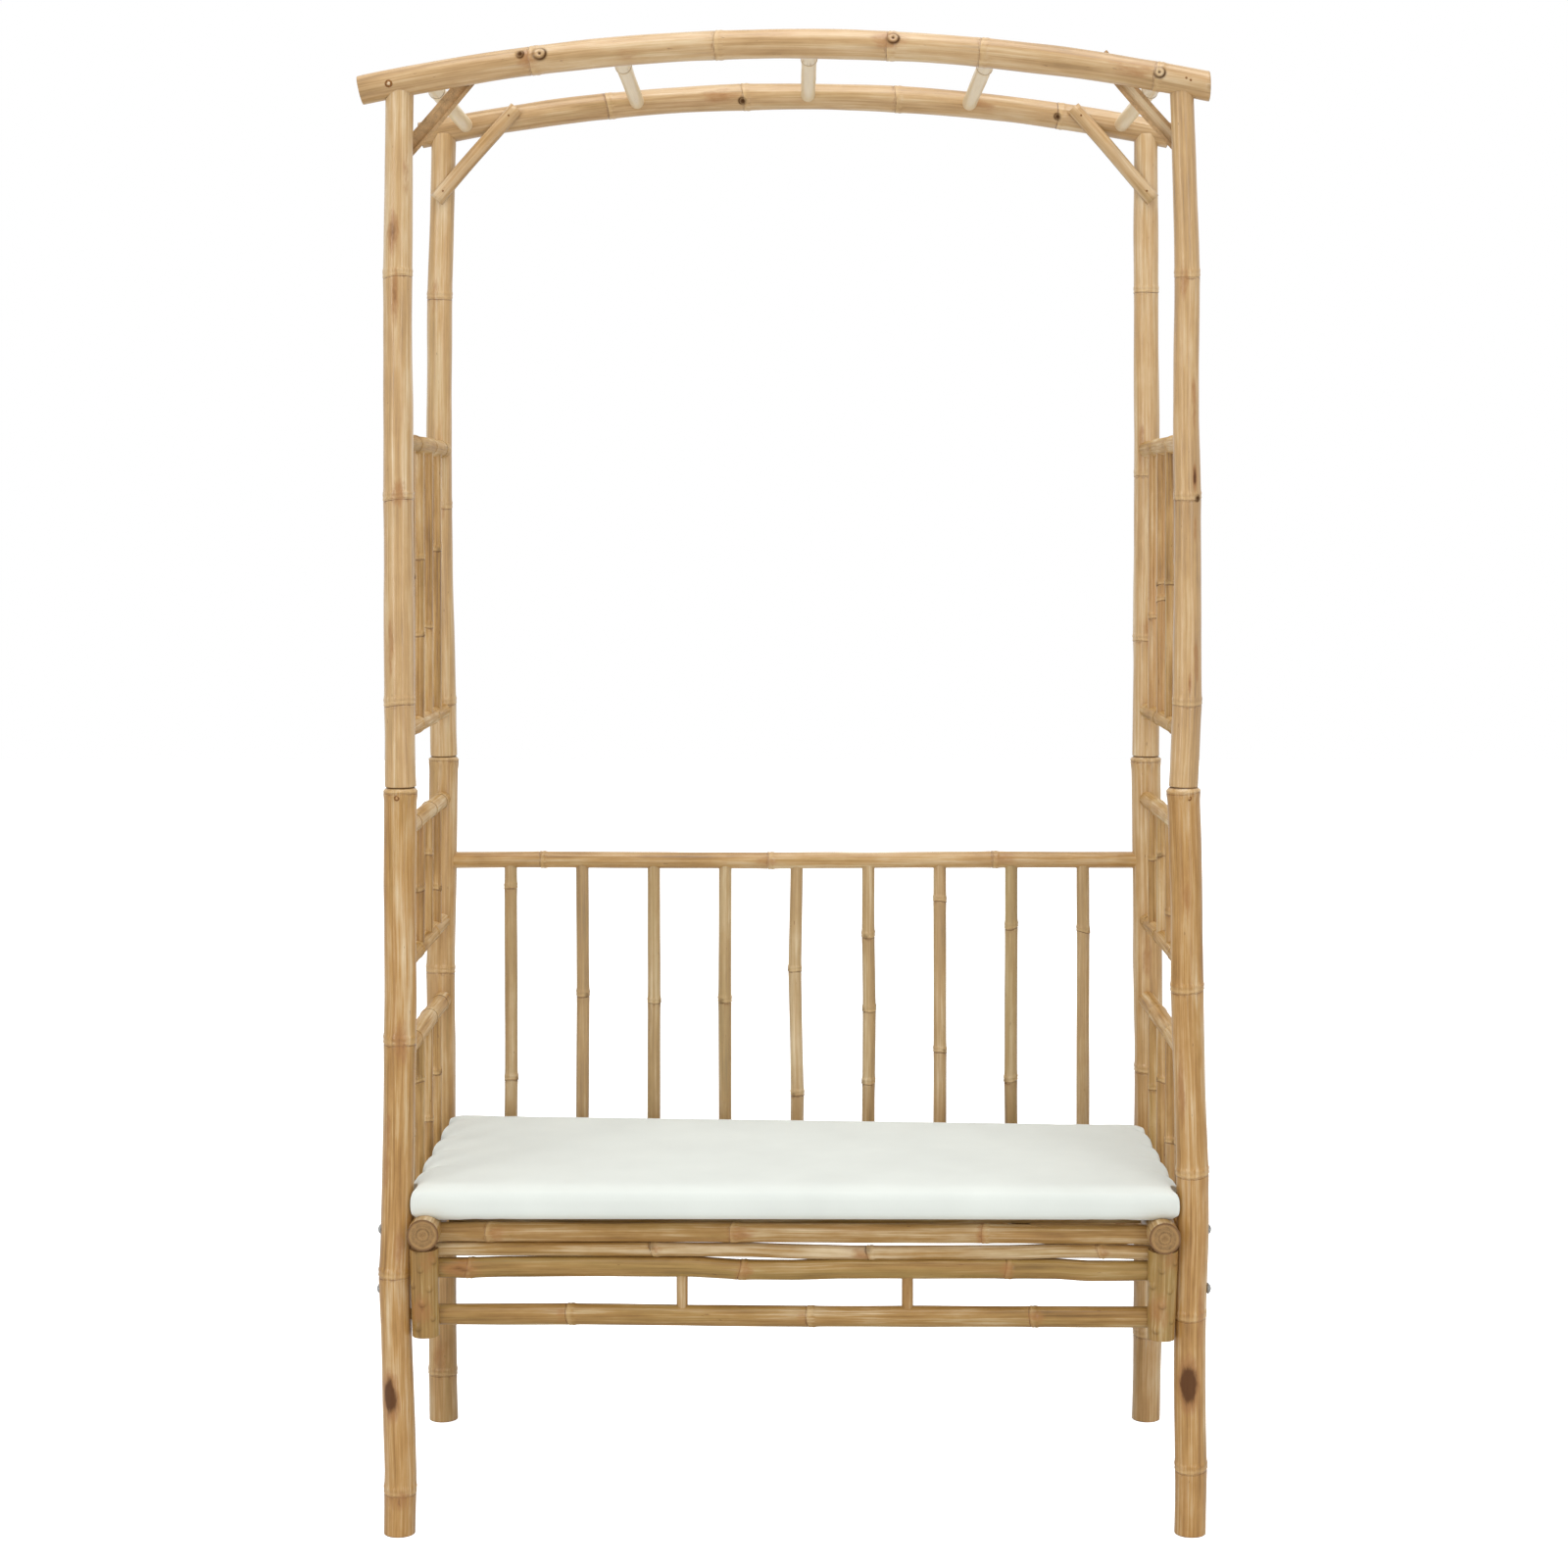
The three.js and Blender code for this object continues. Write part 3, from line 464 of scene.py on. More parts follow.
def cane_material(name, colour, contrast, gloss):
    """Lacquered bamboo skin: fibres, streaks, patches, node rings, stains and scars, with painted knob
    shadows and painted contact shade at its rims.
    """
    material, graph, shader = new_material(name)
    grain, seed, fibres, streaks, skin = cane_skin(graph, colour, contrast)
    skin = node_marks(graph, grain, seed, streaks, skin)
    blotch = graph.noise(graph.stretch(grain, BLOTCH_STRETCH), seed, 120.0, 4.0, 0.65)
    stain = graph.plus(graph.attribute("stain"), graph.times(graph.minus(blotch, 0.5), 1.2))
    stain = graph.times(stain, graph.step(graph.attribute("stain"), 0.02, 0.25))
    skin = graph.blend(graph.step(stain, 0.08, 0.6, 0.0, 0.75), skin, (*SCORCHED, 1))
    skin = graph.blend(graph.step(stain, 0.5, 1.05, 0.0, 0.85), skin, (*BURNT_BROWN, 1))
    # The eyes are dark scars. The same value carries the painted shadows under the knobs.
    eye = graph.times(graph.attribute("eye"), EYE_AND_SHADOW_STRENGTH)
    skin = graph.blend(eye, skin, (*shade(BURNT_BROWN, 0.7), 1))
    flecks = graph.noise(graph.stretch(grain, DASH_STRETCH), seed, 300.0, 1.0)
    dashes = graph.times(graph.step(flecks, 0.73, 0.8), DASH_STRENGTH)
    skin = graph.blend(dashes, skin, (*SCAR_BROWN, 1))
    # The rim: partly the sawn skin's own dark edge, partly painted contact shade where ends and fitted tops
    # meet other parts.
    skin = graph.blend(graph.times(graph.attribute("rim"), RIM_AND_CONTACT_SHADE), skin, (*SCAR_BROWN, 1))
    graph.feed(shader.inputs["Base Color"], skin)
    graph.feed(shader.inputs["Roughness"], graph.step(streaks, 0.35, 0.7, 0.42, 0.6))
    matt = graph.math("MAXIMUM", graph.attribute("eye"), graph.step(stain, 0.5, 1.05, 0.0, 0.6))
    gleam = graph.times(graph.attribute("gloss"), graph.minus(1.0, matt))
    graph.feed(shader.inputs["Specular IOR Level"], graph.times(gleam, 0.25))
    graph.feed(shader.inputs["Coat Weight"], graph.times(gleam, gloss))
    graph.feed(shader.inputs["Coat Roughness"], graph.step(fibres, 0.3, 0.7, 0.14, 0.24))
    height = graph.plus(graph.times(fibres, 0.5), graph.times(streaks, 0.8))
    bump = graph.out("ShaderNodeBump", {"Strength": 0.5, "Distance": 0.6 * MM, "Height": height})
    graph.feed(shader.inputs["Normal"], bump)
    return material


def cut_material(name, colour):
    """Sawn bamboo: faint rings, the dots of its vessels and a darker rim."""
    material, graph, shader = new_material(name)
    place = graph.own_place()
    dots = graph.noise(place, 0.0, 900.0, 2.0)
    broad = graph.noise(place, 3.0, 120.0, 3.0)
    core = graph.plus(graph.attribute("core"), graph.times(broad, 0.14))
    across = graph.out("ShaderNodeCombineXYZ", {"X": core})
    rings = graph.noise(across, 1.0, 5.0, 1.0)
    mixed = graph.plus(graph.times(dots, 0.3), graph.times(broad, 0.2))
    mixed = graph.plus(mixed, graph.times(rings, 0.5))
    tone = graph.ramp(mixed, [
        (0.38, shade(colour, 0.5)), (0.46, shade(colour, 0.8)), (0.53, colour), (0.64, shade(colour, 1.3)),
    ])
    edge = graph.step(graph.attribute("core"), 0.84, 1.0, 0.0, 0.85)
    tone = graph.blend(edge, tone, (*SCAR_BROWN, 1))
    graph.feed(shader.inputs["Base Color"], tone)
    shader.inputs["Roughness"].default_value = 0.72
    bump = graph.out("ShaderNodeBump", {"Strength": 0.4, "Distance": 0.4 * MM, "Height": mixed})
    graph.feed(shader.inputs["Normal"], bump)
    return material


def steel_material(name):
    """Dull zinc on steel, with a little wear."""
    material, graph, shader = new_material(name)
    place = graph.own_place()
    worn = graph.noise(place, 0.0, 500.0, 3.0)
    graph.feed(shader.inputs["Base Color"], graph.ramp(worn, [
        (0.3, linear(120, 116, 108)), (0.7, linear(186, 188, 188)),
    ]))
    shader.inputs["Metallic"].default_value = 1.0
    graph.feed(shader.inputs["Roughness"], graph.step(worn, 0.3, 0.7, 0.5, 0.28))
    return material


def pin_material(name, low, high):
    """Small fixings in cane: two tones, mottled."""
    material, graph, shader = new_material(name)
    place = graph.own_place()
    mottle = graph.noise(place, 2.0, 700.0, 2.0)
    graph.feed(shader.inputs["Base Color"], graph.ramp(mottle, [(0.4, low), (0.6, high)]))
    graph.feed(shader.inputs["Roughness"], graph.step(mottle, 0.4, 0.6, 0.5, 0.65))
    shader.inputs["Specular IOR Level"].default_value = 0.2
    return material


def cloth_material(name, colour):
    """Plain woven cover: fine threads both ways, soft mottling and a light sheen."""
    material, graph, shader = new_material(name)
    place = graph.own_place()
    wave = {"Vector": place, "Scale": THREAD_SCALE, "Distortion": 0.6}
    warp, weft = (graph.node("ShaderNodeTexWave", wave, bands_direction=way).outputs[1] for way in "XY")
    weave = graph.plus(warp, weft)
    mottle = graph.noise(place, 0.0, 9.0, 3.0)
    soft = graph.ramp(mottle, [(0.3, shade(colour, 0.955)), (0.7, shade(colour, 1.02))])
    threads = graph.times(graph.step(weave, 0.1, 1.4, 1.0, 0.0), 0.06)
    graph.feed(shader.inputs["Base Color"], graph.blend(threads, soft, (*shade(colour, 0.7), 1)))
    shader.inputs["Roughness"].default_value = 0.88
    shader.inputs["Sheen Weight"].default_value = 0.2
    shader.inputs["Sheen Roughness"].default_value = 0.5
    shader.inputs["Specular IOR Level"].default_value = 0.25
    bump = graph.out("ShaderNodeBump", {"Strength": 0.15, "Distance": 0.25 * MM, "Height": weave})
    graph.feed(shader.inputs["Normal"], bump)
    return material


MATERIALS = {}
# Each finish of bamboo: the setting of its colour, its contrast and its gloss.
CANE_FINISHES = {
    "bamboo_post": ("post_colour", 0.9, 0.6),
    "bamboo_roof": ("roof_colour", 0.8, 0.7),
    "bamboo_rung": ("rung_colour", 0.95, 0.8),
    "bamboo_seat": ("seat_colour", 0.85, 0.3),
}


def materials():
    """The object's materials, made once."""
    if not MATERIALS:
        cane = bpy.context.scene.arbour_cane
        for finish, (setting, contrast, gloss) in CANE_FINISHES.items():
            colour = tuple(getattr(cane, setting))
            MATERIALS[finish] = cane_material(finish + "_skin", colour, contrast, gloss)
        MATERIALS["cut"] = cut_material("bamboo_cut", tuple(cane.cut_colour))
        MATERIALS["split"] = cut_material("bamboo_split", linear(200, 163, 116))
        MATERIALS["cane_pin"] = pin_material("cane_pin", linear(168, 126, 80), linear(200, 158, 108))
        MATERIALS["pin"] = pin_material("pale_pin", linear(196, 164, 122), linear(226, 204, 172))
        MATERIALS["scorch"] = pin_material("scorched_ring", shade(SCORCHED, 0.45), shade(SCORCHED, 0.8))
        MATERIALS["bolt_steel"] = steel_material("dull_zinc")
        cushion = bpy.context.scene.arbour_cushion
        MATERIALS["cushion_fabric"] = cloth_material("plain_cover", tuple(cushion.cloth_colour))
    return MATERIALS


# Geometry Nodes trees.
# How fast a pole's section wanders from round, round it and along it.
UNEVEN_ROUND = (1.1, 1.1, 1.1)
UNEVEN_ALONG = (9.0, 9.0, 9.0)
LATH_WAVE = 1.2 * MM
LATH_SEED = 0.5
LATH_SEED_STEP = 1.7
LEAST_WASHER = 0.1 * MM


def new_tree(name, sockets):
    """A Geometry Nodes tree and its named inputs, asked for as name, kind and default."""
    tree = bpy.data.node_groups.new(name, "GeometryNodeTree")
    tree.interface.new_socket("Geometry", in_out="INPUT", socket_type="NodeSocketGeometry")
    for label, kind, default in sockets:
        made = tree.interface.new_socket(label, in_out="INPUT", socket_type="NodeSocket" + kind)
        if default is not None:
            made.default_value = default
    tree.interface.new_socket("Geometry", in_out="OUTPUT", socket_type="NodeSocketGeometry")
    graph = Graph(tree)
    return tree, graph, graph.node("NodeGroupInput").outputs


def finish_tree(graph, geometry, material):
    """Ends a tree with real geometry that has its material."""
    real = graph.out("GeometryNodeRealizeInstances", {"Geometry": geometry})
    dressed = graph.out("GeometryNodeSetMaterial", {"Geometry": real, "Material": material})
    graph.node("NodeGroupOutput", {"Geometry": dressed})


def named(graph, name, kind="FLOAT"):
    return graph.out("GeometryNodeInputNamedAttribute", {"Name": name}, data_type=kind)


def store(graph, geometry, name, value, kind="FLOAT"):
    inputs = {"Geometry": geometry, "Name": name, "Value": value}
    return graph.out("GeometryNodeStoreNamedAttribute", inputs, data_type=kind, domain="POINT")


def culm_tree():
    """Sweeps a round section along a line of stations, each with its own thickness."""
    tree, graph, given = new_tree("Bamboo Culm", [
        ("Sides", "Int", 32), ("Unevenness", "Float", 0.03), ("Seed", "Float", 0.0),
        ("Material", "Material", None),
    ])
    line = graph.out("GeometryNodeMeshToCurve", {"Mesh": given["Geometry"]})
    circle = graph.out("GeometryNodeCurvePrimitiveCircle", {"Resolution": given["Sides"], "Radius": 1.0})
    profile = store(graph, circle, "round", graph.out("GeometryNodeInputPosition"), "FLOAT_VECTOR")
    swept = graph.out("GeometryNodeCurveToMesh", {
        "Curve": line, "Profile Curve": profile, "Scale": named(graph, "thick"), "Fill Caps": True,
    })
    around = named(graph, "round", "FLOAT_VECTOR")
    flat = graph.out("ShaderNodeVectorMath", {0: around, "Scale": named(graph, "thick")}, operation="SCALE")
    along = graph.out("ShaderNodeCombineXYZ", {"Z": named(graph, "along")})
    grain = graph.vector("ADD", flat, along)
    stored = store(graph, swept, "grain", grain, "FLOAT_VECTOR")
    loose = graph.vector("ADD", graph.stretch(around, UNEVEN_ROUND), graph.stretch(along, UNEVEN_ALONG))
    uneven = graph.minus(graph.noise(loose, given["Seed"], 1.0, 1.0), 0.5)
    share = graph.times(graph.times(given["Unevenness"], 4.0), named(graph, "loose"))
    amount = graph.times(uneven, graph.times(named(graph, "thick"), share))
    normal = graph.out("GeometryNodeInputNormal")
    offset = graph.out("ShaderNodeVectorMath", {0: normal, "Scale": amount}, operation="SCALE")
    shaped = graph.out("GeometryNodeSetPosition", {"Geometry": stored, "Offset": offset})
    smooth = graph.out("GeometryNodeSetShadeSmooth", {"Geometry": shaped})
    finish_tree(graph, smooth, given["Material"])
    return tree


def lath_tree():
    """Repeats a flat strip with rounded edges at an even pitch, each with its own slow wave."""
    tree, graph, given = new_tree("Laths", [
        ("Count", "Int", 8), ("Start", "Vector", None), ("Pitch", "Vector", None), ("Along", "Vector", None),
        ("Width", "Float", 40 * MM), ("Thickness", "Float", 9 * MM), ("Rounding", "Float", 2 * MM),
        ("Material", "Material", None),
    ])
    half = graph.stretch(given["Along"], (0.5, 0.5, 0.5))
    back = graph.stretch(given["Along"], (-0.5, -0.5, -0.5))
    spine = graph.out("GeometryNodeCurvePrimitiveLine", {"Start": back, "End": half})
    spine = graph.out("GeometryNodeResampleCurve", {"Curve": spine, "Count": 24}, mode="COUNT")
    oblong = graph.out("GeometryNodeCurvePrimitiveQuadrilateral", {
        "Width": given["Width"], "Height": given["Thickness"],
    })
    rounded = graph.out("GeometryNodeFilletCurve", {
        "Curve": oblong, "Radius": given["Rounding"], "Count": 4,
    }, mode="POLY")
    lath = graph.out("GeometryNodeCurveToMesh", {
        "Curve": spine, "Profile Curve": rounded, "Scale": 1.0, "Fill Caps": True,
    })
    row = graph.out("GeometryNodeMeshLine", {
        "Count": given["Count"], "Start Location": given["Start"], "Offset": given["Pitch"],
    })
    number = graph.out("GeometryNodeInputIndex")
    stored = store(graph, row, "seed", graph.plus(graph.times(number, LATH_SEED_STEP), LATH_SEED))
    copies = graph.out("GeometryNodeInstanceOnPoints", {"Points": stored, "Instance": lath})
    real = graph.out("GeometryNodeRealizeInstances", {"Geometry": copies})
    place = graph.out("GeometryNodeInputPosition")
    wave = graph.minus(graph.noise(place, named(graph, "seed"), 5.0, 1.0), 0.5)
    lift = graph.out("ShaderNodeCombineXYZ", {"Z": graph.times(wave, LATH_WAVE)})
    uneven = graph.out("GeometryNodeSetPosition", {"Geometry": real, "Offset": lift})
    finish_tree(graph, uneven, given["Material"])
    return tree


def head_tree():
    """Sets a domed head on each point, turned to its facing, with a washer under it where it has one."""
    tree, graph, given = new_tree("Fixing Heads", [
        ("Radius", "Float", 3 * MM), ("Height", "Float", 1.5 * MM), ("Washer", "Float", 0.0),
        ("Washer Thickness", "Float", 1 * MM), ("Material", "Material", None),
    ])
    ball = graph.out("GeometryNodeMeshUVSphere", {"Segments": 24, "Rings": 16, "Radius": 1.0})
    radius = given["Radius"]
    size = graph.out("ShaderNodeCombineXYZ", {"X": radius, "Y": radius, "Z": given["Height"]})
    dome = graph.out("GeometryNodeTransform", {"Geometry": ball, "Scale": size})
    disc = graph.out("GeometryNodeMeshCylinder", {
        "Vertices": 32, "Radius": given["Washer"], "Depth": given["Washer Thickness"],
    })
    sizes = {0: given["Washer"], 1: LEAST_WASHER}
    wanted = graph.out("FunctionNodeCompare", sizes, operation="GREATER_THAN")
    washer = graph.out("GeometryNodeSwitch", {"Switch": wanted, "True": disc}, input_type="GEOMETRY")
    both = graph.node("GeometryNodeJoinGeometry", {"Geometry": dome})
    graph.feed(both.inputs[0], washer)
    facing = named(graph, "facing", "FLOAT_VECTOR")
    turned = graph.out("FunctionNodeAlignRotationToVector", {"Vector": facing}, axis="Z")
    heads = graph.out("GeometryNodeInstanceOnPoints", {
        "Points": given["Geometry"], "Instance": both.outputs[0], "Rotation": turned,
    })
    real = graph.out("GeometryNodeRealizeInstances", {"Geometry": heads})
    smooth = graph.out("GeometryNodeSetShadeSmooth", {"Geometry": real})
    finish_tree(graph, smooth, given["Material"])
    return tree


TREES = {}


def tree(maker):
    """A tree, made once."""
    if maker not in TREES:
        TREES[maker] = maker()
    return TREES[maker]


def placed(name, data):
    """Puts a mesh, a lamp or a camera in the scene as an object."""
    made = bpy.data.objects.new(name, data)
    bpy.context.scene.collection.objects.link(made)
    return made


def grown(name, seed_mesh, maker, **values):
    """Runs a tree on a mesh and gives the result as a plain mesh object."""
    source = placed(name + "_source", seed_mesh)
    group = tree(maker)
    modifier = source.modifiers.new("Build", "NODES")
    modifier.node_group = group
    for item in group.interface.items_tree:
        key = item.name.lower().replace(" ", "_")
        if item.in_out == "INPUT" and key in values:
            modifier[item.identifier] = values[key]
    depsgraph = bpy.context.evaluated_depsgraph_get()
    evaluated = source.evaluated_get(depsgraph)
    mesh = bpy.data.meshes.new_from_object(evaluated, preserve_all_data_layers=True, depsgraph=depsgraph)
    source.modifiers.remove(modifier)
    bpy.data.objects.remove(source)
    bpy.data.meshes.remove(seed_mesh)
    mesh.name = name
    return placed(name, mesh)


def settle(piece, body="frame", stands_for=()):
    """Gives a finished piece its body, and hides the solids that it stands for."""
    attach(piece, body)
    if stands_for:
        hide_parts(*stands_for)


# Poles.


@dataclass
class Pole:
    """A bamboo pole from one point to another, with what grew or happened on it, and the light painted on
    it.
    """

    name: str
    start: np.ndarray
    end: np.ndarray
    start_dia: float
    end_dia: float
    nodes: list = field(default_factory=list)
    bends: tuple = ()
    lean: tuple = (1.0, 0.0, 0.0)
    slot: str = "bamboo_post"
    ends: tuple = ("plain", "plain")
    tone: float = 0.0
    tint: float = 0.0
    # pale: painted light, a wash towards cream.
    pale: float = 0.0
    gloss: float = 1.0
    stains: tuple = ()
    eyes: tuple = ()
    knobs: tuple = ()
    grows: int = 1
    arch: object = None
    tenon: tuple = (0.0, 0.0)

    @property
    def length(self):
        return float(np.linalg.norm(np.subtract(self.end, self.start)))

    @property
    def seed(self):
        return sum(ord(letter) * (i + 3) for i, letter in enumerate(self.name)) % 997 / 7


def hump(place, middle, reach):
    """A smooth rise of 1 at its middle, that fades over its reach."""
    return np.exp(-(((place - middle) / reach) ** 2))


def from_nodes(pole, along):
    """How far each place is over the node below it and under the node above it, as the pole grew."""
    places = np.array([-1.0, *(share * pole.length for share, _ in pole.nodes), pole.length + 1.0])
    after = np.searchsorted(places, along, side="right")
    behind = np.clip(along - places[after - 1], 0, FAR_FROM_NODE)
    ahead = np.clip(places[after] - along, 0, FAR_FROM_NODE)
    return (behind, ahead) if pole.grows > 0 else (ahead, behind)


def ridge(gap, dia, cane):
    """How far a node stands proud, by the gap from its scar: a groove, a lip and a rounder ring above."""
    knobby = 1 + cane.thin_gain * np.clip((THICK_FROM - dia) / (THICK_FROM - THIN_POLE), 0, 1)
    spacing = NODE_SPACING + NODE_SPACING_SHARE * dia
    scar = -0.7 * cane.scar_share * hump(gap, 0.0, 0.11 * spacing)
    lip = cane.scar_share * hump(gap, 0.28 * spacing, 0.2 * spacing)
    crest = cane.swell_share * hump(gap, spacing, 0.34 * spacing)
    broad = 0.45 * cane.swell_share * hump(gap, 0.4 * spacing, 1.5 * spacing)
    return dia * knobby * (scar + lip + crest + broad)


def cut_places(pole, dia):
    """Places along a pole where its skin has corners: close together at its nodes, eyes and ends."""
    length = pole.length
    reach = NODE_REACH * (NODE_SPACING + NODE_SPACING_SHARE * dia)
    spots = [np.arange(0, length, STATION_STEP), [0, END_STEP, 3 * END_STEP, length - 3 * END_STEP]]
    spots += [share * length + np.arange(-reach, reach, NODE_STEP) for share, _ in pole.nodes]
    spots += [share * length + np.arange(-EYE_REACH, EYE_REACH, EYE_STEP) * size
              for share, _, size in (*pole.eyes, *pole.knobs, *twig_scars(pole))]
    if pole.ends[1] in ("saddle", "bored"):
        spots.append(length - np.arange(0, dia, NODE_STEP))
    if pole.tenon[0]:
        spots += [[shoulder - LEAST_STEP, shoulder + LEAST_STEP] for shoulder in (
            pole.tenon[0], length - pole.tenon[0])]
    along = np.unique(np.clip(np.concatenate(spots), 0, length))
    along = along[np.diff(along, prepend=-1) > LEAST_STEP]
    along = np.append(along[along < length - LEAST_STEP], [length - END_STEP, length])
    return np.unique(along)


def bent(pole, along):
    """How far a pole's middle is off its straight line, as a share of its thickness."""
    stops, kinks = zip(*sorted([(0, 0), *pole.nodes, *pole.bends, (1, 0)]))
    offset = sum(np.interp((along + step) / pole.length, stops, kinks) * weight for step, weight in (
        (-BEND_SMOOTHING, 0.25), (0, 0.5), (BEND_SMOOTHING, 0.25)))
    return offset * np.interp(along / pole.length, [0, STRAIGHT_END, 1 - STRAIGHT_END, 1], [0, 1, 1, 0])


def radii(pole, along, gap, dia, cane):
    """A pole's radius at each place, with its node rings, its neck and its tenons."""
    length = pole.length
    dias = pole.start_dia + (pole.end_dia - pole.start_dia) * (along / length)
    thick = dias / 2 + ridge(gap, dias, cane)
    if pole.ends[1] == "neck":
        over = along - length + MOUTH_NODE_DROP
        neck = np.clip(over / MOUTH_NODE_DROP, 0, 1)
        shoulder = hump(over, 0.0, 1.3 * MOUTH_NODE_DROP)
        thick += dia * (MOUTH_SHOULDER_SHARE * shoulder - MOUTH_NECK_SHARE * neck ** 2)
    if pole.tenon[0]:
        thick[np.minimum(along, length - along) < pole.tenon[0]] = pole.tenon[1] / 2
    thick[[0, -1]] -= END_STEP
    return thick * (1 + WAIST_SHARE * np.sin(along / WAIST_LENGTH + pole.seed))


def stations(pole, cane):
    """Places along a pole with their middle, thickness and what the material reads."""
    dia = max(pole.start_dia, pole.end_dia)
    along = cut_places(pole, dia)
    share = along / pole.length
    over, under = from_nodes(pole, along)
    gap = np.where(over < under, over, -under)
    line = np.array(pole.start) + share[:, None] * np.subtract(pole.end, pole.start)
    if pole.arch is not None:
        line = pole.arch(share)
    line = line + bent(pole, along)[:, None] * dia * np.array(pole.lean)
    cells = np.searchsorted([place for place, _ in pole.nodes], share)
    luck = random.Random(int(pole.seed * 7))
    cell_tones = np.array([luck.uniform(-1, 1) for _ in range(len(pole.nodes) + 1)])
    inset = np.minimum(along, pole.length - along)
    return {
        "line": line, "along": along, "thick": radii(pole, along, gap, dia, cane), "over": over,
        "under": under, "cell": cell_tones[cells], "loose": np.clip(inset / STATION_STEP, 0, 1),
        # rim: partly the dark edge of sawn skin, partly painted contact shade where an end meets the floor
        # or a socket.
        "rim": (inset < 2 * END_STEP).astype(float), "core": np.ones(len(along)),
    }


STATION_VALUES = ("along", "thick", "over", "under", "cell", "loose", "rim", "core")


def add_values(mesh, name, values):
    """Stores one number for each point of a mesh."""
    layer = mesh.attributes.get(name) or mesh.attributes.new(name, "FLOAT", "POINT")
    layer.data.foreach_set("value", np.asarray(values, np.float32))


def add_vectors(mesh, name, vectors):
    """Stores one vector for each point of a mesh."""
    layer = mesh.attributes.new(name, "FLOAT_VECTOR", "POINT")
    layer.data.foreach_set("vector", np.asarray(vectors, np.float32).ravel())


def read_values(mesh, name):
    values = np.zeros(len(mesh.vertices), np.float32)
    mesh.attributes[name].data.foreach_get("value", values)
    return values.astype(float)


def read_points(mesh):
    points = np.zeros(len(mesh.vertices) * 3, np.float32)
    mesh.vertices.foreach_get("co", points)
    return points.reshape(-1, 3).astype(float)


def write_points(mesh, points):
    mesh.vertices.foreach_set("co", np.asarray(points, np.float32).ravel())
    mesh.update()


def add_plain_values(mesh, seed, **values):
    """Gives a piece without nodes the values that the bamboo materials read."""
    plain = {"over": FAR_FROM_NODE, "under": FAR_FROM_NODE, "gloss": 1.0, "seed": seed, **values}
    for name, value in plain.items():
        if name not in mesh.attributes:
            add_values(mesh, name, np.full(len(mesh.vertices), value))


def angles_round(pole, points, middles):
    """Angle of each point round its pole: 0 faces the front, or up on a pole that runs front to back."""
    axis = np.subtract(pole.end, pole.start) / pole.length
    face = UP if abs(axis[Y]) > 0.7 else FACING
    side = np.cross(face, axis)
    spread = points - middles
    return np.arctan2(spread @ side, spread @ face)


def turned(angles, degrees):
    """How far round a pole each point is from a mark's middle."""
    return np.angle(np.exp(1j * (angles - math.radians(degrees))))


def stained(pole, along, angles):
    """How strongly a pole is stained at each point."""
    stain = np.zeros(len(along))
    for share, degrees, reach, width, strength in pole.stains:
        turn = turned(angles, degrees) / math.radians(width)
        distance = ((along - share * pole.length) / reach) ** 2 + turn ** 2
        stain = np.maximum(stain, strength * np.exp(-distance))
    return stain


def eyes_and_knobs(pole, along, angles):
    """How dark the eyes of a pole are at each point, with a painted shadow under each knob, and how far they
    lift its skin.
    """
    radius = (pole.start_dia + pole.end_dia) / 4
    eye = np.zeros(len(along))
    lift = np.zeros(len(along))

    def spread(share, degrees, size):
        up = along - share * pole.length
        aside = turned(angles, degrees) * radius
        return np.hypot(up, aside) / size, np.arctan2(up, aside)

    dark_eyes = [(*one, 1.0) for one in pole.eyes] + [(*one, TWIG_SCAR_SHARE) for one in twig_scars(pole)]
    for share, degrees, size, darkness in dark_eyes:
        distance, bearing = spread(share, degrees, size)
        swirl = 0.75 + 0.4 * np.sin(bearing + pole.seed)
        core = SOLID_EYE if size < LEAST_RINGED_EYE else RINGED_EYE
        eye = np.maximum(eye, darkness * np.exp(-((distance / core) ** 4)))
        eye = np.maximum(eye, darkness * swirl * hump(distance, 0.85, 0.22))
        lift += size * (0.17 * hump(distance, 0.5, 0.4) - 0.1 * hump(distance, 0.0, 0.3))
    for share, degrees, size in pole.knobs:
        distance, bearing = spread(share, degrees, size)
        lift += KNOB_HEIGHT * size * hump(distance, 0.0, 0.8)
        # Painted shadow: a dark crescent on the lower side of each knob, kept with the eyes.
        below = 0.5 - 0.5 * np.sin(bearing)
        eye = np.maximum(eye, KNOB_SHADOW * below ** 2 * hump(distance, 1.0, 0.35))
    return np.clip(eye, 0, 1), lift


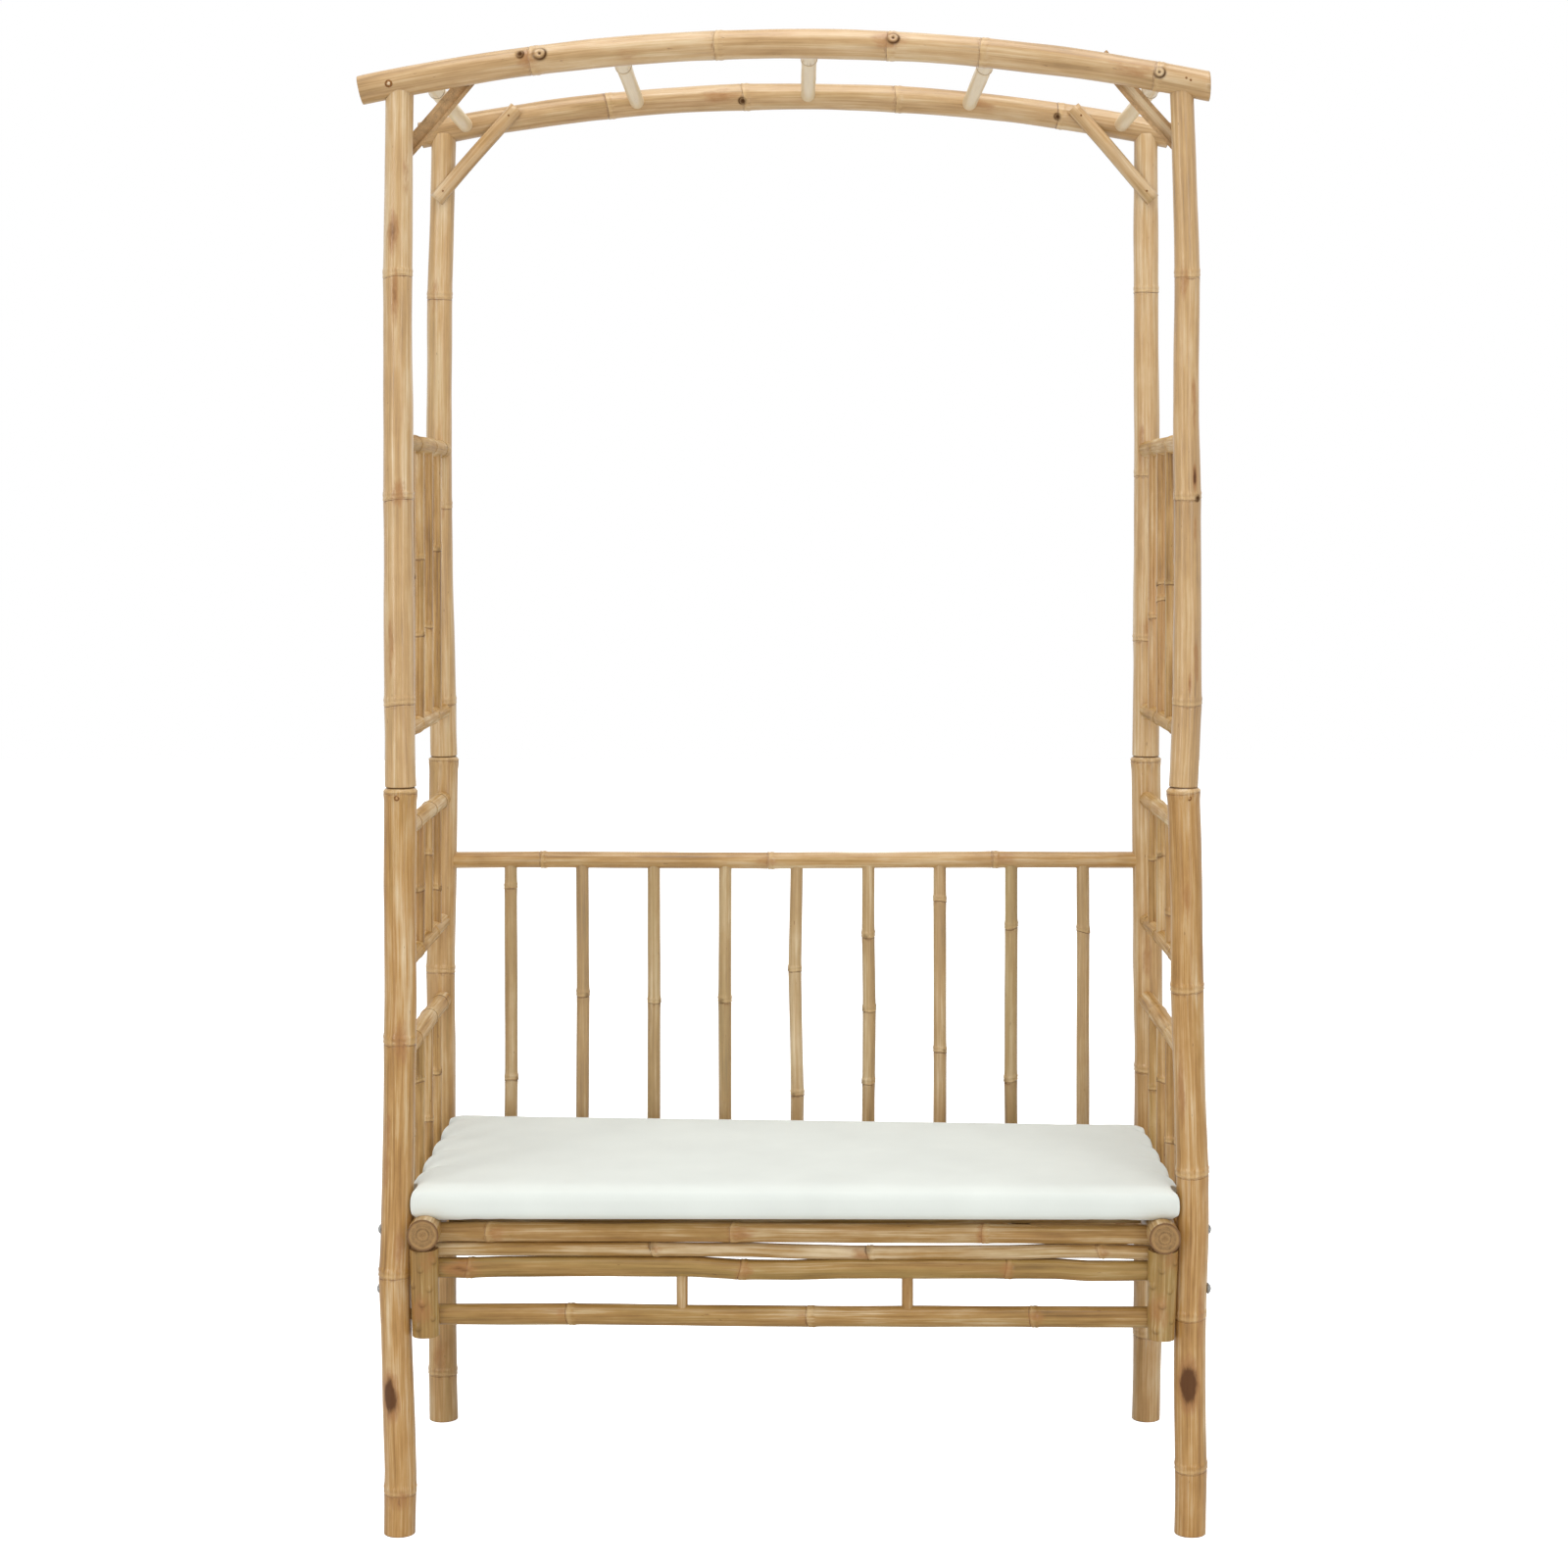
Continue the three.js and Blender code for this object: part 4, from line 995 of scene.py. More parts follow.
def mark(pole, mesh, made):
    """Stains, eyes, painted knob shadows, tilted node rings, and the seed, tints and painted light of a
    pole, set on its points.
    """
    points = read_points(mesh)
    along = read_values(mesh, "along")
    gap = np.minimum(read_values(mesh, "over"), read_values(mesh, "under"))
    middles = np.stack([np.interp(along, made["along"], made["line"][:, axis]) for axis in (X, Y, Z)], 1)
    angles = angles_round(pole, points, middles)
    eye, lift = eyes_and_knobs(pole, along, angles)
    outward = points - middles
    outward /= np.maximum(np.linalg.norm(outward, axis=1, keepdims=True), LEAST_STEP)
    near = hump(gap, 0.0, 2 * NODE_SPACING) * read_values(mesh, "loose")
    tilt = NODE_TILT * (np.sin(angles + pole.seed) + 0.5 * np.sin(2 * angles + 3 * pole.seed)) * near
    axis = np.subtract(pole.end, pole.start) / pole.length
    write_points(mesh, points + lift[:, None] * outward + tilt[:, None] * axis)
    add_values(mesh, "stain", stained(pole, along, angles))
    add_values(mesh, "eye", eye)
    # pale carries the painted light of a pole.
    for name in ("seed", "tone", "tint", "pale", "gloss"):
        add_values(mesh, name, np.full(len(points), getattr(pole, name)))


def twig_scars(pole):
    """Thin poles keep the scar of a twig at most of their nodes, on alternate sides."""
    if max(pole.start_dia, pole.end_dia) > TWIG_SCARS_UNDER:
        return []
    luck = random.Random(pole.name)
    scars = []
    for i, (share, _) in enumerate(pole.nodes):
        turn = luck.choice((-70, -35, 30, 65)) + 180 * (i % 2) * luck.choice((0, 1))
        scars.append((share + 3 * MM / pole.length, turn, luck.uniform(3.0, 5.0) * MM))
    return scars


def sink(work, cap, outward, rings):
    """Turns a flat or saddled end face into rings, each a share of the rim's reach and a depth."""
    core = work.verts.layers.float.get("core")
    rim = [corner.vert for corner in cap.loops]
    places = np.array([vert.co for vert in rim])
    middle = places.mean(0)
    heights = (places - middle) @ outward
    flat = places - middle - heights[:, None] * outward
    bmesh.ops.delete(work, geom=[cap], context="FACES_ONLY")
    made = []
    ring = rim
    for reach, depth, level in rings:
        spots = middle + flat * reach + ((1 - level) * heights - depth)[:, None] * outward
        inner = [work.verts.new(spot) for spot in spots]
        for vert in inner:
            vert[core] = reach
        for i, vert in enumerate(ring):
            after = (i + 1) % len(ring)
            made.append(work.faces.new((vert, ring[after], inner[after], inner[i])))
        ring = inner
    made.append(work.faces.new(ring))
    for face in made:
        face.material_index = 1
        face.smooth = False


def end_rings(kind, radius, cane):
    """Rings of a sawn end: how far in, how deep, and how much they lie level."""
    wall = 1 - min(cane.wall / radius, 0.4)
    mouth = min(cane.mouth_depth, 2.4 * radius)
    if kind == "disc":
        return [(0.8, 0.0, 0), (0.76, 0.025 * radius, 0), (0.48, 0.01 * radius, 0), (0.44, 0.04 * radius, 0),
                (0.14, 0.02 * radius, 0), (0.1, 0.07 * radius, 0)]
    if kind in ("hollow", "bored"):
        return [(wall, 0.0, 0), (wall - 0.03, 1.5 * MM, 0), (wall - 0.04, mouth, 1),
                (wall - 0.3, mouth + MM, 1)]
    return [(0.5, 0.0, 0)]


def cut_ends(pole, mesh, cane):
    """Gives both ends of a pole their sawn face: a disc with its rings, or a mouth with its wall."""
    mesh.materials.append(materials()["cut"])
    axis = np.subtract(pole.end, pole.start) / pole.length
    work = bmesh.new()
    work.from_mesh(mesh)
    bmesh.ops.remove_doubles(work, verts=work.verts, dist=MERGE_REACH)
    for cap in [face for face in work.faces if len(face.verts) > LARGEST_PLAIN_FACE]:
        middle = np.array(cap.calc_center_median())
        last = np.linalg.norm(middle - pole.end) < np.linalg.norm(middle - pole.start)
        for edge in cap.edges:
            edge.smooth = False
        outward = axis if last else -axis
        if pole.arch is not None:
            outward = np.array(cap.normal)
        kind = pole.ends[int(last)]
        radius = (pole.end_dia if last else pole.start_dia) / 2
        sink(work, cap, outward, end_rings(kind, radius, cane))
    work.to_mesh(mesh)
    work.free()


def make_pole(pole, stands_for=(), shape=None):
    """Makes one pole and settles it in the frame. shape moves its skin before its ends are cut."""
    cane = bpy.context.scene.arbour_cane
    made = stations(pole, cane)
    count = len(made["along"])
    mesh = bpy.data.meshes.new(pole.name)
    mesh.from_pydata(made["line"].tolist(), [(i, i + 1) for i in range(count - 1)], [])
    for name in STATION_VALUES:
        add_values(mesh, name, made[name])
    thick = max(pole.start_dia, pole.end_dia) > THICK_FROM
    sides = EYED_SIDES if pole.eyes or pole.knobs else THICK_SIDES if thick else THIN_SIDES
    piece = grown(pole.name, mesh, culm_tree, sides=sides,
                  unevenness=cane.flute_share, seed=pole.seed, material=materials()[pole.slot])
    mark(pole, piece.data, made)
    if shape is not None:
        before = read_points(piece.data)
        after = shape(before.copy())
        write_points(piece.data, after)
        # Painted contact shade where the skin was cut to fit against a beam or a rail.
        add_values(piece.data, "rim", FITTED_CONTACT_SHADE * (np.linalg.norm(after - before, axis=1) > LEAST_STEP))
    cut_ends(pole, piece.data, cane)
    settle(piece, "frame", stands_for)
    return piece


FEET = {mount["name"]: mount["pos_m"] for mount in frame["record"]["mounts"]}


def side_name(row, side, what):
    return f"{what}_{row}_{side}"


def post_place(row, side):
    """Middle of a post's foot."""
    return np.array(FEET[f"foot_{row}_{side}"], float)


# Posts: a lower culm with a mouth, and an upper culm that stands in it and saddles the beam.
LOWER_POST_DIAS = (43 * MM, 44 * MM)
UPPER_POST_DIAS = {
    "front_left": (42.5 * MM, 38 * MM),
    "front_right": (40 * MM, 32 * MM),
    "back_left": (41 * MM, 37 * MM),
    "back_right": (41 * MM, 37 * MM),
}
JOINT_LEAN = {"front_left": -1.3 * MM, "front_right": -9 * MM}
TOP_LEAN = {"front_right": -11.5 * MM}
JOINT_SEAM = 0.6 * MM
MOUTH_NODE_DROP = 7 * MM
MOUTH_NECK_SHARE = 0.1
MOUTH_SHOULDER_SHARE = 0.022
POST_STAINS = {
    "lower_front_left": (
        (0.188, 25, 28 * MM, 32, 1.5), (0.66, -10, 34 * MM, 26, 0.6), (0.52, 40, 60 * MM, 22, 0.5),
        (0.38, -20, 40 * MM, 24, 0.5), (0.05, 0, 16 * MM, 70, 0.4)),
    "lower_front_right": (
        (0.205, 13, 30 * MM, 34, 1.6), (0.3, -35, 45 * MM, 22, 0.5), (0.6, 40, 60 * MM, 20, 0.5),
        (0.86, 10, 50 * MM, 20, 0.4)),
    "lower_back_left": ((0.5, 20, 60 * MM, 24, 0.5), (0.1, 0, 30 * MM, 40, 0.4)),
    "lower_back_right": ((0.3, -30, 60 * MM, 24, 0.5), (0.7, 10, 40 * MM, 24, 0.4)),
    "upper_front_left": (
        (0.79, 15, 28 * MM, 22, 0.8), (0.7, 5, 34 * MM, 14, 0.8), (0.42, -10, 20 * MM, 30, 0.6),
        (0.88, -40, 40 * MM, 20, 0.4), (0.2, 30, 60 * MM, 18, 0.4)),
    "upper_front_right": (
        (0.442, -27, 15 * MM, 10, 1.3), (0.368, -25, 22 * MM, 10, 0.5), (0.184, -34, 32 * MM, 14, 0.6),
        (0.149, -4, 12 * MM, 8, 0.8), (0.72, 20, 30 * MM, 22, 0.5), (0.55, -30, 60 * MM, 16, 0.4)),
    "upper_back_left": ((0.4, 0, 30 * MM, 40, 0.4), (0.74, 20, 30 * MM, 30, 0.4)),
    "upper_back_right": ((0.5, 30, 60 * MM, 20, 0.4), (0.2, 0, 30 * MM, 30, 0.4)),
}
UPPER_POST_EYES = {"front_right": ((0.413, -37, 5 * MM),)}
UPPER_POST_TONES = {"front_left": 0.1, "front_right": -0.5, "back_left": 0.6, "back_right": 0.6}
LOWER_POST_TONE = 0.2
# Painted light: how far the posts are washed towards cream, standing in for glare and bounced light.
LOWER_POST_PAINTED_LIGHT = {"front": 0.0, "back": 0.1}
UPPER_POST_PAINTED_LIGHT = 0.17
POST_TINTS = {"front_left": 0.05, "front_right": -0.1, "back_left": 0.2, "back_right": -0.05}

# Roof: two arched beams, five rungs between them and a brace in each corner.
ROOF_SPAN = 1152 * MM
ARCH_RISE = 60 * MM
BEAM_DIA = 40 * MM
SADDLE_GAP = 0.3 * MM
BEAM_PROUD = 2.5 * MM
BEAM_END_SHIFTS = {"front": (-18 * MM, -4 * MM), "back": (0.0, 0.0)}
BEAM_CUTS = {"front": 565.5 * MM}
ROOF_RUNG_DIA = 22 * MM
ROOF_RUNG_COUNT = 5
ROOF_RUNG_NODE_SHARES = [(0.24, 0.02)]
# Painted light: how far the roof rungs and beams are washed towards cream, standing in for glare.
ROOF_RUNG_PAINTED_LIGHT = 0.75
BEAM_PAINTED_LIGHT = 0.04
BEAM_EYES = {
    "front": ((0.1785, 24, 6.5 * MM), (0.201, 16, 9.5 * MM), (0.6155, 24, 8.5 * MM), (0.93, 8, 8 * MM)),
    "back": ((0.124, -15, 4 * MM), (0.4295, -24, 6.5 * MM), (0.848, -13, 6 * MM)),
}
BEAM_STAINS = {
    "front": ((0.2, 0, 20 * MM, 50, 0.5), (0.31, -30, 30 * MM, 30, 0.4), (0.62, 20, 26 * MM, 40, 0.5),
              (0.9, 0, 40 * MM, 40, 0.4)),
    "back": ((0.4, 0, 30 * MM, 40, 0.5), (0.75, 0, 40 * MM, 30, 0.4)),
}


def arch_radius():
    return ((ROOF_SPAN / 2) ** 2 + ARCH_RISE ** 2) / (2 * ARCH_RISE)


def arch_crown(row):
    """Top of a roof beam's middle line."""
    return ring_centre("roof_beam_" + row, X, 0.0) + (0.0, ROWS[row] * BEAM_PROUD, 0.0)


def arch_drop(x):
    """How far a roof beam's middle line lies below its crown."""
    radius = arch_radius()
    return radius - np.sqrt(radius ** 2 - np.asarray(x) ** 2)


def end_shifts(row):
    """How far a beam's ends are off the even span, as shares of it."""
    return [shift / ROOF_SPAN for shift in BEAM_END_SHIFTS[row]]


def beam_share(row, share):
    """A place on the even span, as a share of the beam as it was cut."""
    left, right = end_shifts(row)
    return (share - left) / (1 + right - left)


def arch_line(row):
    """A function that gives points of a roof beam's middle line by their share of its length."""
    crown = arch_crown(row)
    radius = arch_radius()
    half_angle = math.asin(ROOF_SPAN / 2 / radius)
    left, right = end_shifts(row)

    def line(share):
        even = left + np.asarray(share) * (1 + right - left)
        angle = (2 * even - 1) * half_angle
        x = radius * np.sin(angle)
        z = crown[Z] - radius * (1 - np.cos(angle))
        return np.stack([x, np.full_like(x, crown[Y]), z], 1)

    return line


def under_beam(row):
    """A function that cuts a post's top to the shape of the beam that lies on it."""
    crown = arch_crown(row)
    reach = BEAM_DIA / 2 + SADDLE_GAP

    def shape(points):
        across = np.clip(np.abs(points[:, Y] - crown[Y]), 0, reach)
        under = crown[Z] - arch_drop(points[:, X]) - np.sqrt(reach ** 2 - across ** 2)
        points[:, Z] = np.minimum(points[:, Z], under)
        return points

    return shape


def plumb_end(row):
    """A function that cuts a beam's right end plumb."""
    cut = BEAM_CUTS[row]
    slope = math.tan(math.asin(cut / arch_radius()))

    def shape(points):
        beyond = np.maximum(points[:, X] - cut, 0)
        points[:, X] -= beyond
        points[:, Z] += beyond * slope
        return points

    return shape


def build_posts():
    for row, side in CORNERS:
        corner = f"{row}_{side}"
        foot = post_place(row, side)
        lower_node = side_name(row, side, "post_lower")
        upper_node = side_name(row, side, "post_upper")
        joint = leaned(foot, side, JOINT_LEAN.get(corner, 0.0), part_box(lower_node)[HIGH][Z])
        nodes = [*POST_NODE_SHARES["lower_" + corner], (1 - MOUTH_NODE_DROP / joint[Z], 0)]
        lean = (float(SIDES[side]), 0.0, 0.0)
        lower = Pole(
            corner + "_lower_culm", foot, joint, *LOWER_POST_DIAS, nodes=nodes, lean=lean,
            bends=POST_BENDS.get("lower_" + corner, ()), ends=("hollow", "neck"),
            stains=POST_STAINS["lower_" + corner], tint=POST_TINTS[corner], tone=LOWER_POST_TONE,
            pale=LOWER_POST_PAINTED_LIGHT[row])
        make_pole(lower, [lower_node])
        top = leaned(foot, side, TOP_LEAN.get(corner, 0.0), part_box(upper_node)[HIGH][Z])
        upper = Pole(
            corner + "_upper_culm", joint + JOINT_SEAM * UP, top, *UPPER_POST_DIAS[corner],
            nodes=upper_nodes(corner, joint[Z], top[Z]), lean=lean,
            bends=POST_BENDS.get("upper_" + corner, ()), ends=("plain", "saddle"),
            stains=POST_STAINS["upper_" + corner], eyes=UPPER_POST_EYES.get(corner, ()),
            tint=POST_TINTS[corner], tone=UPPER_POST_TONES[corner], pale=UPPER_POST_PAINTED_LIGHT)
        make_pole(upper, [upper_node], under_beam(row))


def leaned(foot, side, outward, level):
    """A place over a post's foot, moved outwards along the bench as its poles lean."""
    return place_of(foot, x=foot[X] + SIDES[side] * outward, z=level)


def upper_nodes(corner, low, high):
    """The CAD gives an upper post's nodes along its length from the joint to the beam's middle line."""
    full = arch_crown("front")[Z] - float(arch_drop(post_place("front", "left")[X])) - low
    return [(share * full / (high - low), kink) for share, kink in POST_NODE_SHARES["upper_" + corner]]


def build_roof():
    for row in ROWS:
        line = arch_line(row)
        start, end = line([0.0, 1.0])
        nodes = [(beam_share(row, share), kink) for share, kink in BEAM_NODE_SHARES[row]]
        eyes = [(beam_share(row, share), *rest) for share, *rest in BEAM_EYES[row]]
        beam = Pole(
            row + "_roof_arch", start, end, BEAM_DIA, BEAM_DIA, nodes=nodes, lean=tuple(UP),
            slot="bamboo_roof", ends=("disc", "disc"), eyes=eyes, stains=BEAM_STAINS[row], arch=line,
            pale=BEAM_PAINTED_LIGHT)
        make_pole(beam, ["roof_beam_" + row], plumb_end(row) if row in BEAM_CUTS else None)
    for i in range(ROOF_RUNG_COUNT):
        node = f"roof_rung_{i + 1}"
        start, end = pole_ends(node, Y)
        rung = Pole(
            f"roof_lath_{i + 1}", start, end, ROOF_RUNG_DIA, ROOF_RUNG_DIA, nodes=ROOF_RUNG_NODE_SHARES,
            lean=tuple(UP), slot="bamboo_roof", tone=0.8, tint=0.3 - 0.15 * i, pale=ROOF_RUNG_PAINTED_LIGHT,
            gloss=0.5)
        make_pole(rung, [node])


# Braces: a split piece of culm, nailed over each inner corner.
SKIN, SPLIT = 0, 1
BRACE_LENGTH = 187 * MM
BRACE_WIDTH = 22.5 * MM
BRACE_SLOPE = math.radians(49)
BRACE_WALL = 4.8 * MM
BRACE_ARC_STEPS = 14
BRACE_STEPS = 24
BRACE_BOW = 0.6 * MM
BRACE_TONES = {"front_left": 1.2, "front_right": 2.4, "back_left": 0.8, "back_right": 0.8}
BRACE_NAIL_INSET = 17 * MM
# The hollow side of this one is as smooth as its skin.
SCRAPED_BRACES = [("front", "right")]
BRACE_CLIMB = {"front_left": 2 * MM, "front_right": 11 * MM}
# Painted light: the front right brace is washed paler, to lift its face out of shade.
BRACE_PAINTED_LIGHT = {"front_right": 0.25}


def brace_frame(row, side):
    """Middle, long axis, cross axis, outward axis and thickness of a brace."""
    low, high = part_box(side_name(row, side, "brace"))
    low, high = np.array(low), np.array(high)
    axis = np.array((-SIDES[side] * math.cos(BRACE_SLOPE), 0.0, math.sin(BRACE_SLOPE)))
    outward = np.array((0.0, -float(ROWS[row]), 0.0))
    middle = (low + high) / 2 + axis * BRACE_CLIMB.get(f"{row}_{side}", 0.0)
    return middle, axis, np.cross(axis, outward), outward, high[Y] - low[Y]


def brace_section(thickness):
    """Corners of a crescent section: its skin from edge to edge, then back along its hollow."""
    radius = ((BRACE_WIDTH / 2) ** 2 + thickness ** 2) / (2 * thickness)
    sunk = radius - thickness
    hollow = radius - BRACE_WALL
    skin_angle = math.acos(sunk / radius)
    hollow_angle = math.acos(min(1.0, sunk / hollow))
    skin = np.linspace(-skin_angle, skin_angle, BRACE_ARC_STEPS)
    inside = np.linspace(hollow_angle, -hollow_angle, BRACE_ARC_STEPS)
    angles = np.concatenate([skin, inside])
    reach = np.repeat([radius, hollow], BRACE_ARC_STEPS)
    return np.stack([reach * np.sin(angles), reach * np.cos(angles) - sunk], 1), angles, radius


def brace_points(row, side):
    """Corners of a brace, section by section, and where each one is in its grain."""
    middle, axis, cross, outward, thickness = brace_frame(row, side)
    base = middle - outward * thickness / 2
    section, angles, radius = brace_section(thickness)
    half = BRACE_LENGTH / 2
    points, grains = [], []
    for spot in np.linspace(-half, half, BRACE_STEPS):
        bow = BRACE_BOW * math.sin(3 * spot / half + SIDES[side])
        for (aside, out), angle in zip(section, angles):
            points.append(tuple(base + axis * spot + cross * (aside + bow) + outward * out))
            grains.append((radius * math.sin(angle), radius * math.cos(angle), spot))
    return points, grains


def brace_faces(scraped):
    """Faces of a brace, which of its two finishes each has, and which are smooth."""
    count = 2 * BRACE_ARC_STEPS
    faces, finishes, smooth = [], [], []
    for i in range(BRACE_STEPS - 1):
        here, there = i * count, (i + 1) * count
        for j in range(count):
            after = (j + 1) % count
            faces.append((here + j, there + j, there + after, here + after))
            outside = j < BRACE_ARC_STEPS - 1
            inside = BRACE_ARC_STEPS <= j < count - 1
            finishes.append(SKIN if outside or (inside and scraped) else SPLIT)
            smooth.append(outside or inside)
    faces.append(tuple(range(count)))
    faces.append(tuple(reversed(range((BRACE_STEPS - 1) * count, BRACE_STEPS * count))))
    return faces, finishes + [SPLIT, SPLIT], smooth + [False, False]


def build_braces():
    for row, side in CORNERS:
        node = side_name(row, side, "brace")
        points, grains = brace_points(row, side)
        faces, finishes, smooth = brace_faces((row, side) in SCRAPED_BRACES)
        mesh = bpy.data.meshes.new(node + "_split")
        mesh.from_pydata(points, [], faces)
        mesh.materials.append(materials()["bamboo_roof"])
        mesh.materials.append(materials()["split"])
        mesh.polygons.foreach_set("material_index", finishes)
        mesh.polygons.foreach_set("use_smooth", smooth)
        add_plain_values(
            mesh, SIDES[side] * 3.1 + ROWS[row] * 1.7 + 20, tone=BRACE_TONES[f"{row}_{side}"],
            pale=BRACE_PAINTED_LIGHT.get(f"{row}_{side}", 0.0))
        add_vectors(mesh, "grain", grains)
        tidy_normals(mesh)
        settle(placed(node + "_split", mesh), "frame", [node])


def tidy_normals(mesh):
    """Turns a closed mesh's faces outwards."""
    work = bmesh.new()
    work.from_mesh(mesh)
    bmesh.ops.recalc_face_normals(work, faces=work.faces)
    work.to_mesh(mesh)
    work.free()


# Ladder sides: six rungs between the posts, three of them with four spindles stood in them.
RUNG_DIAS = {
    "side_upper_top_rung": 25 * MM,
    "side_upper_comb": 23 * MM,
    "side_lower_top_rung": 24 * MM,
    "side_middle_comb": 23 * MM,
    "side_arm_rung": 26 * MM,
    "side_seat_comb": 23 * MM,
}
RUNG_NODE_SHARES = [(0.1, 0.0), (0.36, 0.04), (0.72, 0.02)]
SPINDLE_DIA = 17 * MM
SPINDLE_PLACES = [(j - 1.5) * 100 * MM for j in range(4)]
SPINDLE_TENON = 6 * MM
COMB_NODE_SHARES = {
    "side_upper_comb_left": ((0.526,), (0.308, 0.591), (0.334,), (0.62,)),
    "side_upper_comb_right": ((0.58,), (0.498,), (0.43, 0.492), (0.354,)),
    "side_middle_comb_left": ((0.653,), (0.446,), (0.666,), (0.3,)),
    "side_middle_comb_right": ((0.4,), (0.25,), (0.656,), (0.55,)),
    "side_seat_comb_left": ((0.5,), (0.731,), (0.4,), (0.62,)),
    "side_seat_comb_right": ((0.45,), (0.36,), (0.648,), (0.52,)),
}
COMB_TONES = {"left": -0.8, "right": 0.4}
RUNG_LEAN = (0.4, 0.0, 0.9)
SPINDLE_LEAN = (0.3, 0.9, 0.0)
SPINDLE_TAPER = 0.96


def comb_height(comb, side):
    """Height of a comb's rung above the ground: its lowest point is its rung's."""
    points = unique_points(f"{comb}_{side}")
    end = points[np.abs(points[:, Y] - points[:, Y].min()) < LEAST_STEP]
    return (end[:, Z].min() + end[:, Z].max()) / 2


def build_spindles(node, side, foot, top):
    """Stands four spindles in a rung, up to the rung above."""
    for j, y in enumerate(SPINDLE_PLACES):
        luck = random.Random(f"{node} {j}")
        nodes = [(share, luck.uniform(-0.05, 0.06)) for share in COMB_NODE_SHARES[node][j]]
        tone = luck.uniform(-2.4, 0.0) + COMB_TONES[side]
        spindle = Pole(
            f"{node}_spindle_{j + 1}", place_of(foot, y=y), place_of(foot, y=y, z=top), SPINDLE_DIA,
            SPINDLE_DIA * SPINDLE_TAPER, nodes=nodes, slot="bamboo_rung", lean=SPINDLE_LEAN, tone=tone,
            tint=luck.uniform(-0.5, 0.3), gloss=0.7)
        make_pole(spindle)


def build_sides():
    for side, sign in SIDES.items():
        x = sign * abs(post_place("front", side)[X])
        for i, (rung, dia) in enumerate(RUNG_DIAS.items()):
            node = f"{rung}_{side}"
            low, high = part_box(node)
            z = comb_height(rung, side)
            flip = (i + (side == "left")) % 2
            shares = RUNG_NODE_SHARES
            if flip:
                shares = [(1 - share, kink) for share, kink in reversed(RUNG_NODE_SHARES)]
            pole = Pole(
                node + "_cane", np.array((x, low[Y], z)), np.array((x, high[Y], z)), dia, dia,
                nodes=shares, lean=place_of(RUNG_LEAN, x=sign * RUNG_LEAN[X]), slot="bamboo_rung",
                tone=0.3 * (i % 3), tint=0.25 - 0.1 * i, gloss=0.1, grows=1 if flip else -1)
            make_pole(pole, [node])
            if "comb" in rung:
                build_spindles(node, side, np.array((x, 0.0, z + dia / 2 - SPINDLE_TENON)), high[Z])


# Backrest: nine spindles between a top and a bottom rail.
BACK_TOP_RAIL_DIA = 25 * MM
BACK_BOTTOM_RAIL_DIA = 22 * MM
BACK_SPINDLE_DIA = 20 * MM
BACK_SPINDLE_COUNT = 9
BACK_SPINDLE_TAPER = 0.97
BACK_SPINDLE_TINTS = [0.1, -0.3, 0.3, 0.3, -0.1, 0.2, -0.3, 0.4, 0.0]
BACK_SPINDLE_TONES = [0.6, -0.4, 0.2, 0.4, 0.8, -0.2, 0.5, 0.1, 0.7]


def build_backrest():
    start, end = pole_ends("back_top_rail", X)
    top = Pole(
        "backrest_top", start, end, BACK_TOP_RAIL_DIA, BACK_TOP_RAIL_DIA, nodes=BACK_TOP_RAIL_NODE_SHARES,
        lean=tuple(UP), slot="bamboo_rung", tone=-0.4,
        stains=((0.46, 0, 24 * MM, 50, 0.4), (0.8, 20, 20 * MM, 50, 0.5)))
    make_pole(top, ["back_top_rail"])
    start, end = pole_ends("back_bottom_rail", X)
    bottom = Pole(
        "backrest_bottom", start, end, BACK_BOTTOM_RAIL_DIA, BACK_BOTTOM_RAIL_DIA,
        nodes=BACK_BOTTOM_RAIL_NODE_SHARES, lean=tuple(UP), slot="bamboo_seat")
    make_pole(bottom, ["back_bottom_rail"])
    for i in range(BACK_SPINDLE_COUNT):
        node = f"back_spindle_{i + 1}"
        start, end = pole_ends(node, Z)
        # pale=0.2 washes these spindles towards cream as painted light.
        spindle = Pole(
            f"backrest_spindle_{i + 1}", start, end, BACK_SPINDLE_DIA, BACK_SPINDLE_DIA * BACK_SPINDLE_TAPER,
            nodes=BACK_SPINDLE_NODE_SHARES[i], slot="bamboo_seat", tint=BACK_SPINDLE_TINTS[i],
            tone=BACK_SPINDLE_TONES[i], pale=0.2)
        make_pole(spindle, [node])


# Seat frame: side rails lying in short legs, and the rails between them.
SIDE_RAIL_DIA = 42.7 * MM
SIDE_RAIL_SPARE = 5 * MM
SEAT_LEG_DIAS = {"left": (37.5 * MM, 39.8 * MM), "right": (36.5 * MM, 42 * MM)}
SEAT_LEG_PLACES = {"left": (502.5 * MM, 506 * MM), "right": (499 * MM, 502.3 * MM)}
SEAT_LEG_SHIFT = -10 * MM
SEAT_LEG_FOOT_LIFT = 3 * MM
RAIL_END_SPARE = 9 * MM
FRONT_RAIL_SHIFT = 4 * MM
FRONT_RAIL_DIAS = {
    "top_rail": 26 * MM, "ledger": 19.5 * MM, "middle_rail": 27.5 * MM, "bottom_rail": 28 * MM,
}
THROUGH_TENON_DIA = 15 * MM
SHORT_SPINDLE_DIA = 15.5 * MM
SHORT_SPINDLE_SPACING = 308 * MM
LEG_MOUTH_LEVEL = {"left": 391 * MM, "right": 389 * MM}
SIDE_RAIL_SHIFT = {"left": 5.1 * MM, "right": 2.5 * MM}
RAIL_SAG = {"left": 0.8 * MM, "right": -3.6 * MM}
LEG_MOUTH_RISE = 1.5 * MM
LEG_STAINS = ((0.3, 20, 24 * MM, 60, 0.5), (0.8, -30, 20 * MM, 50, 0.5))
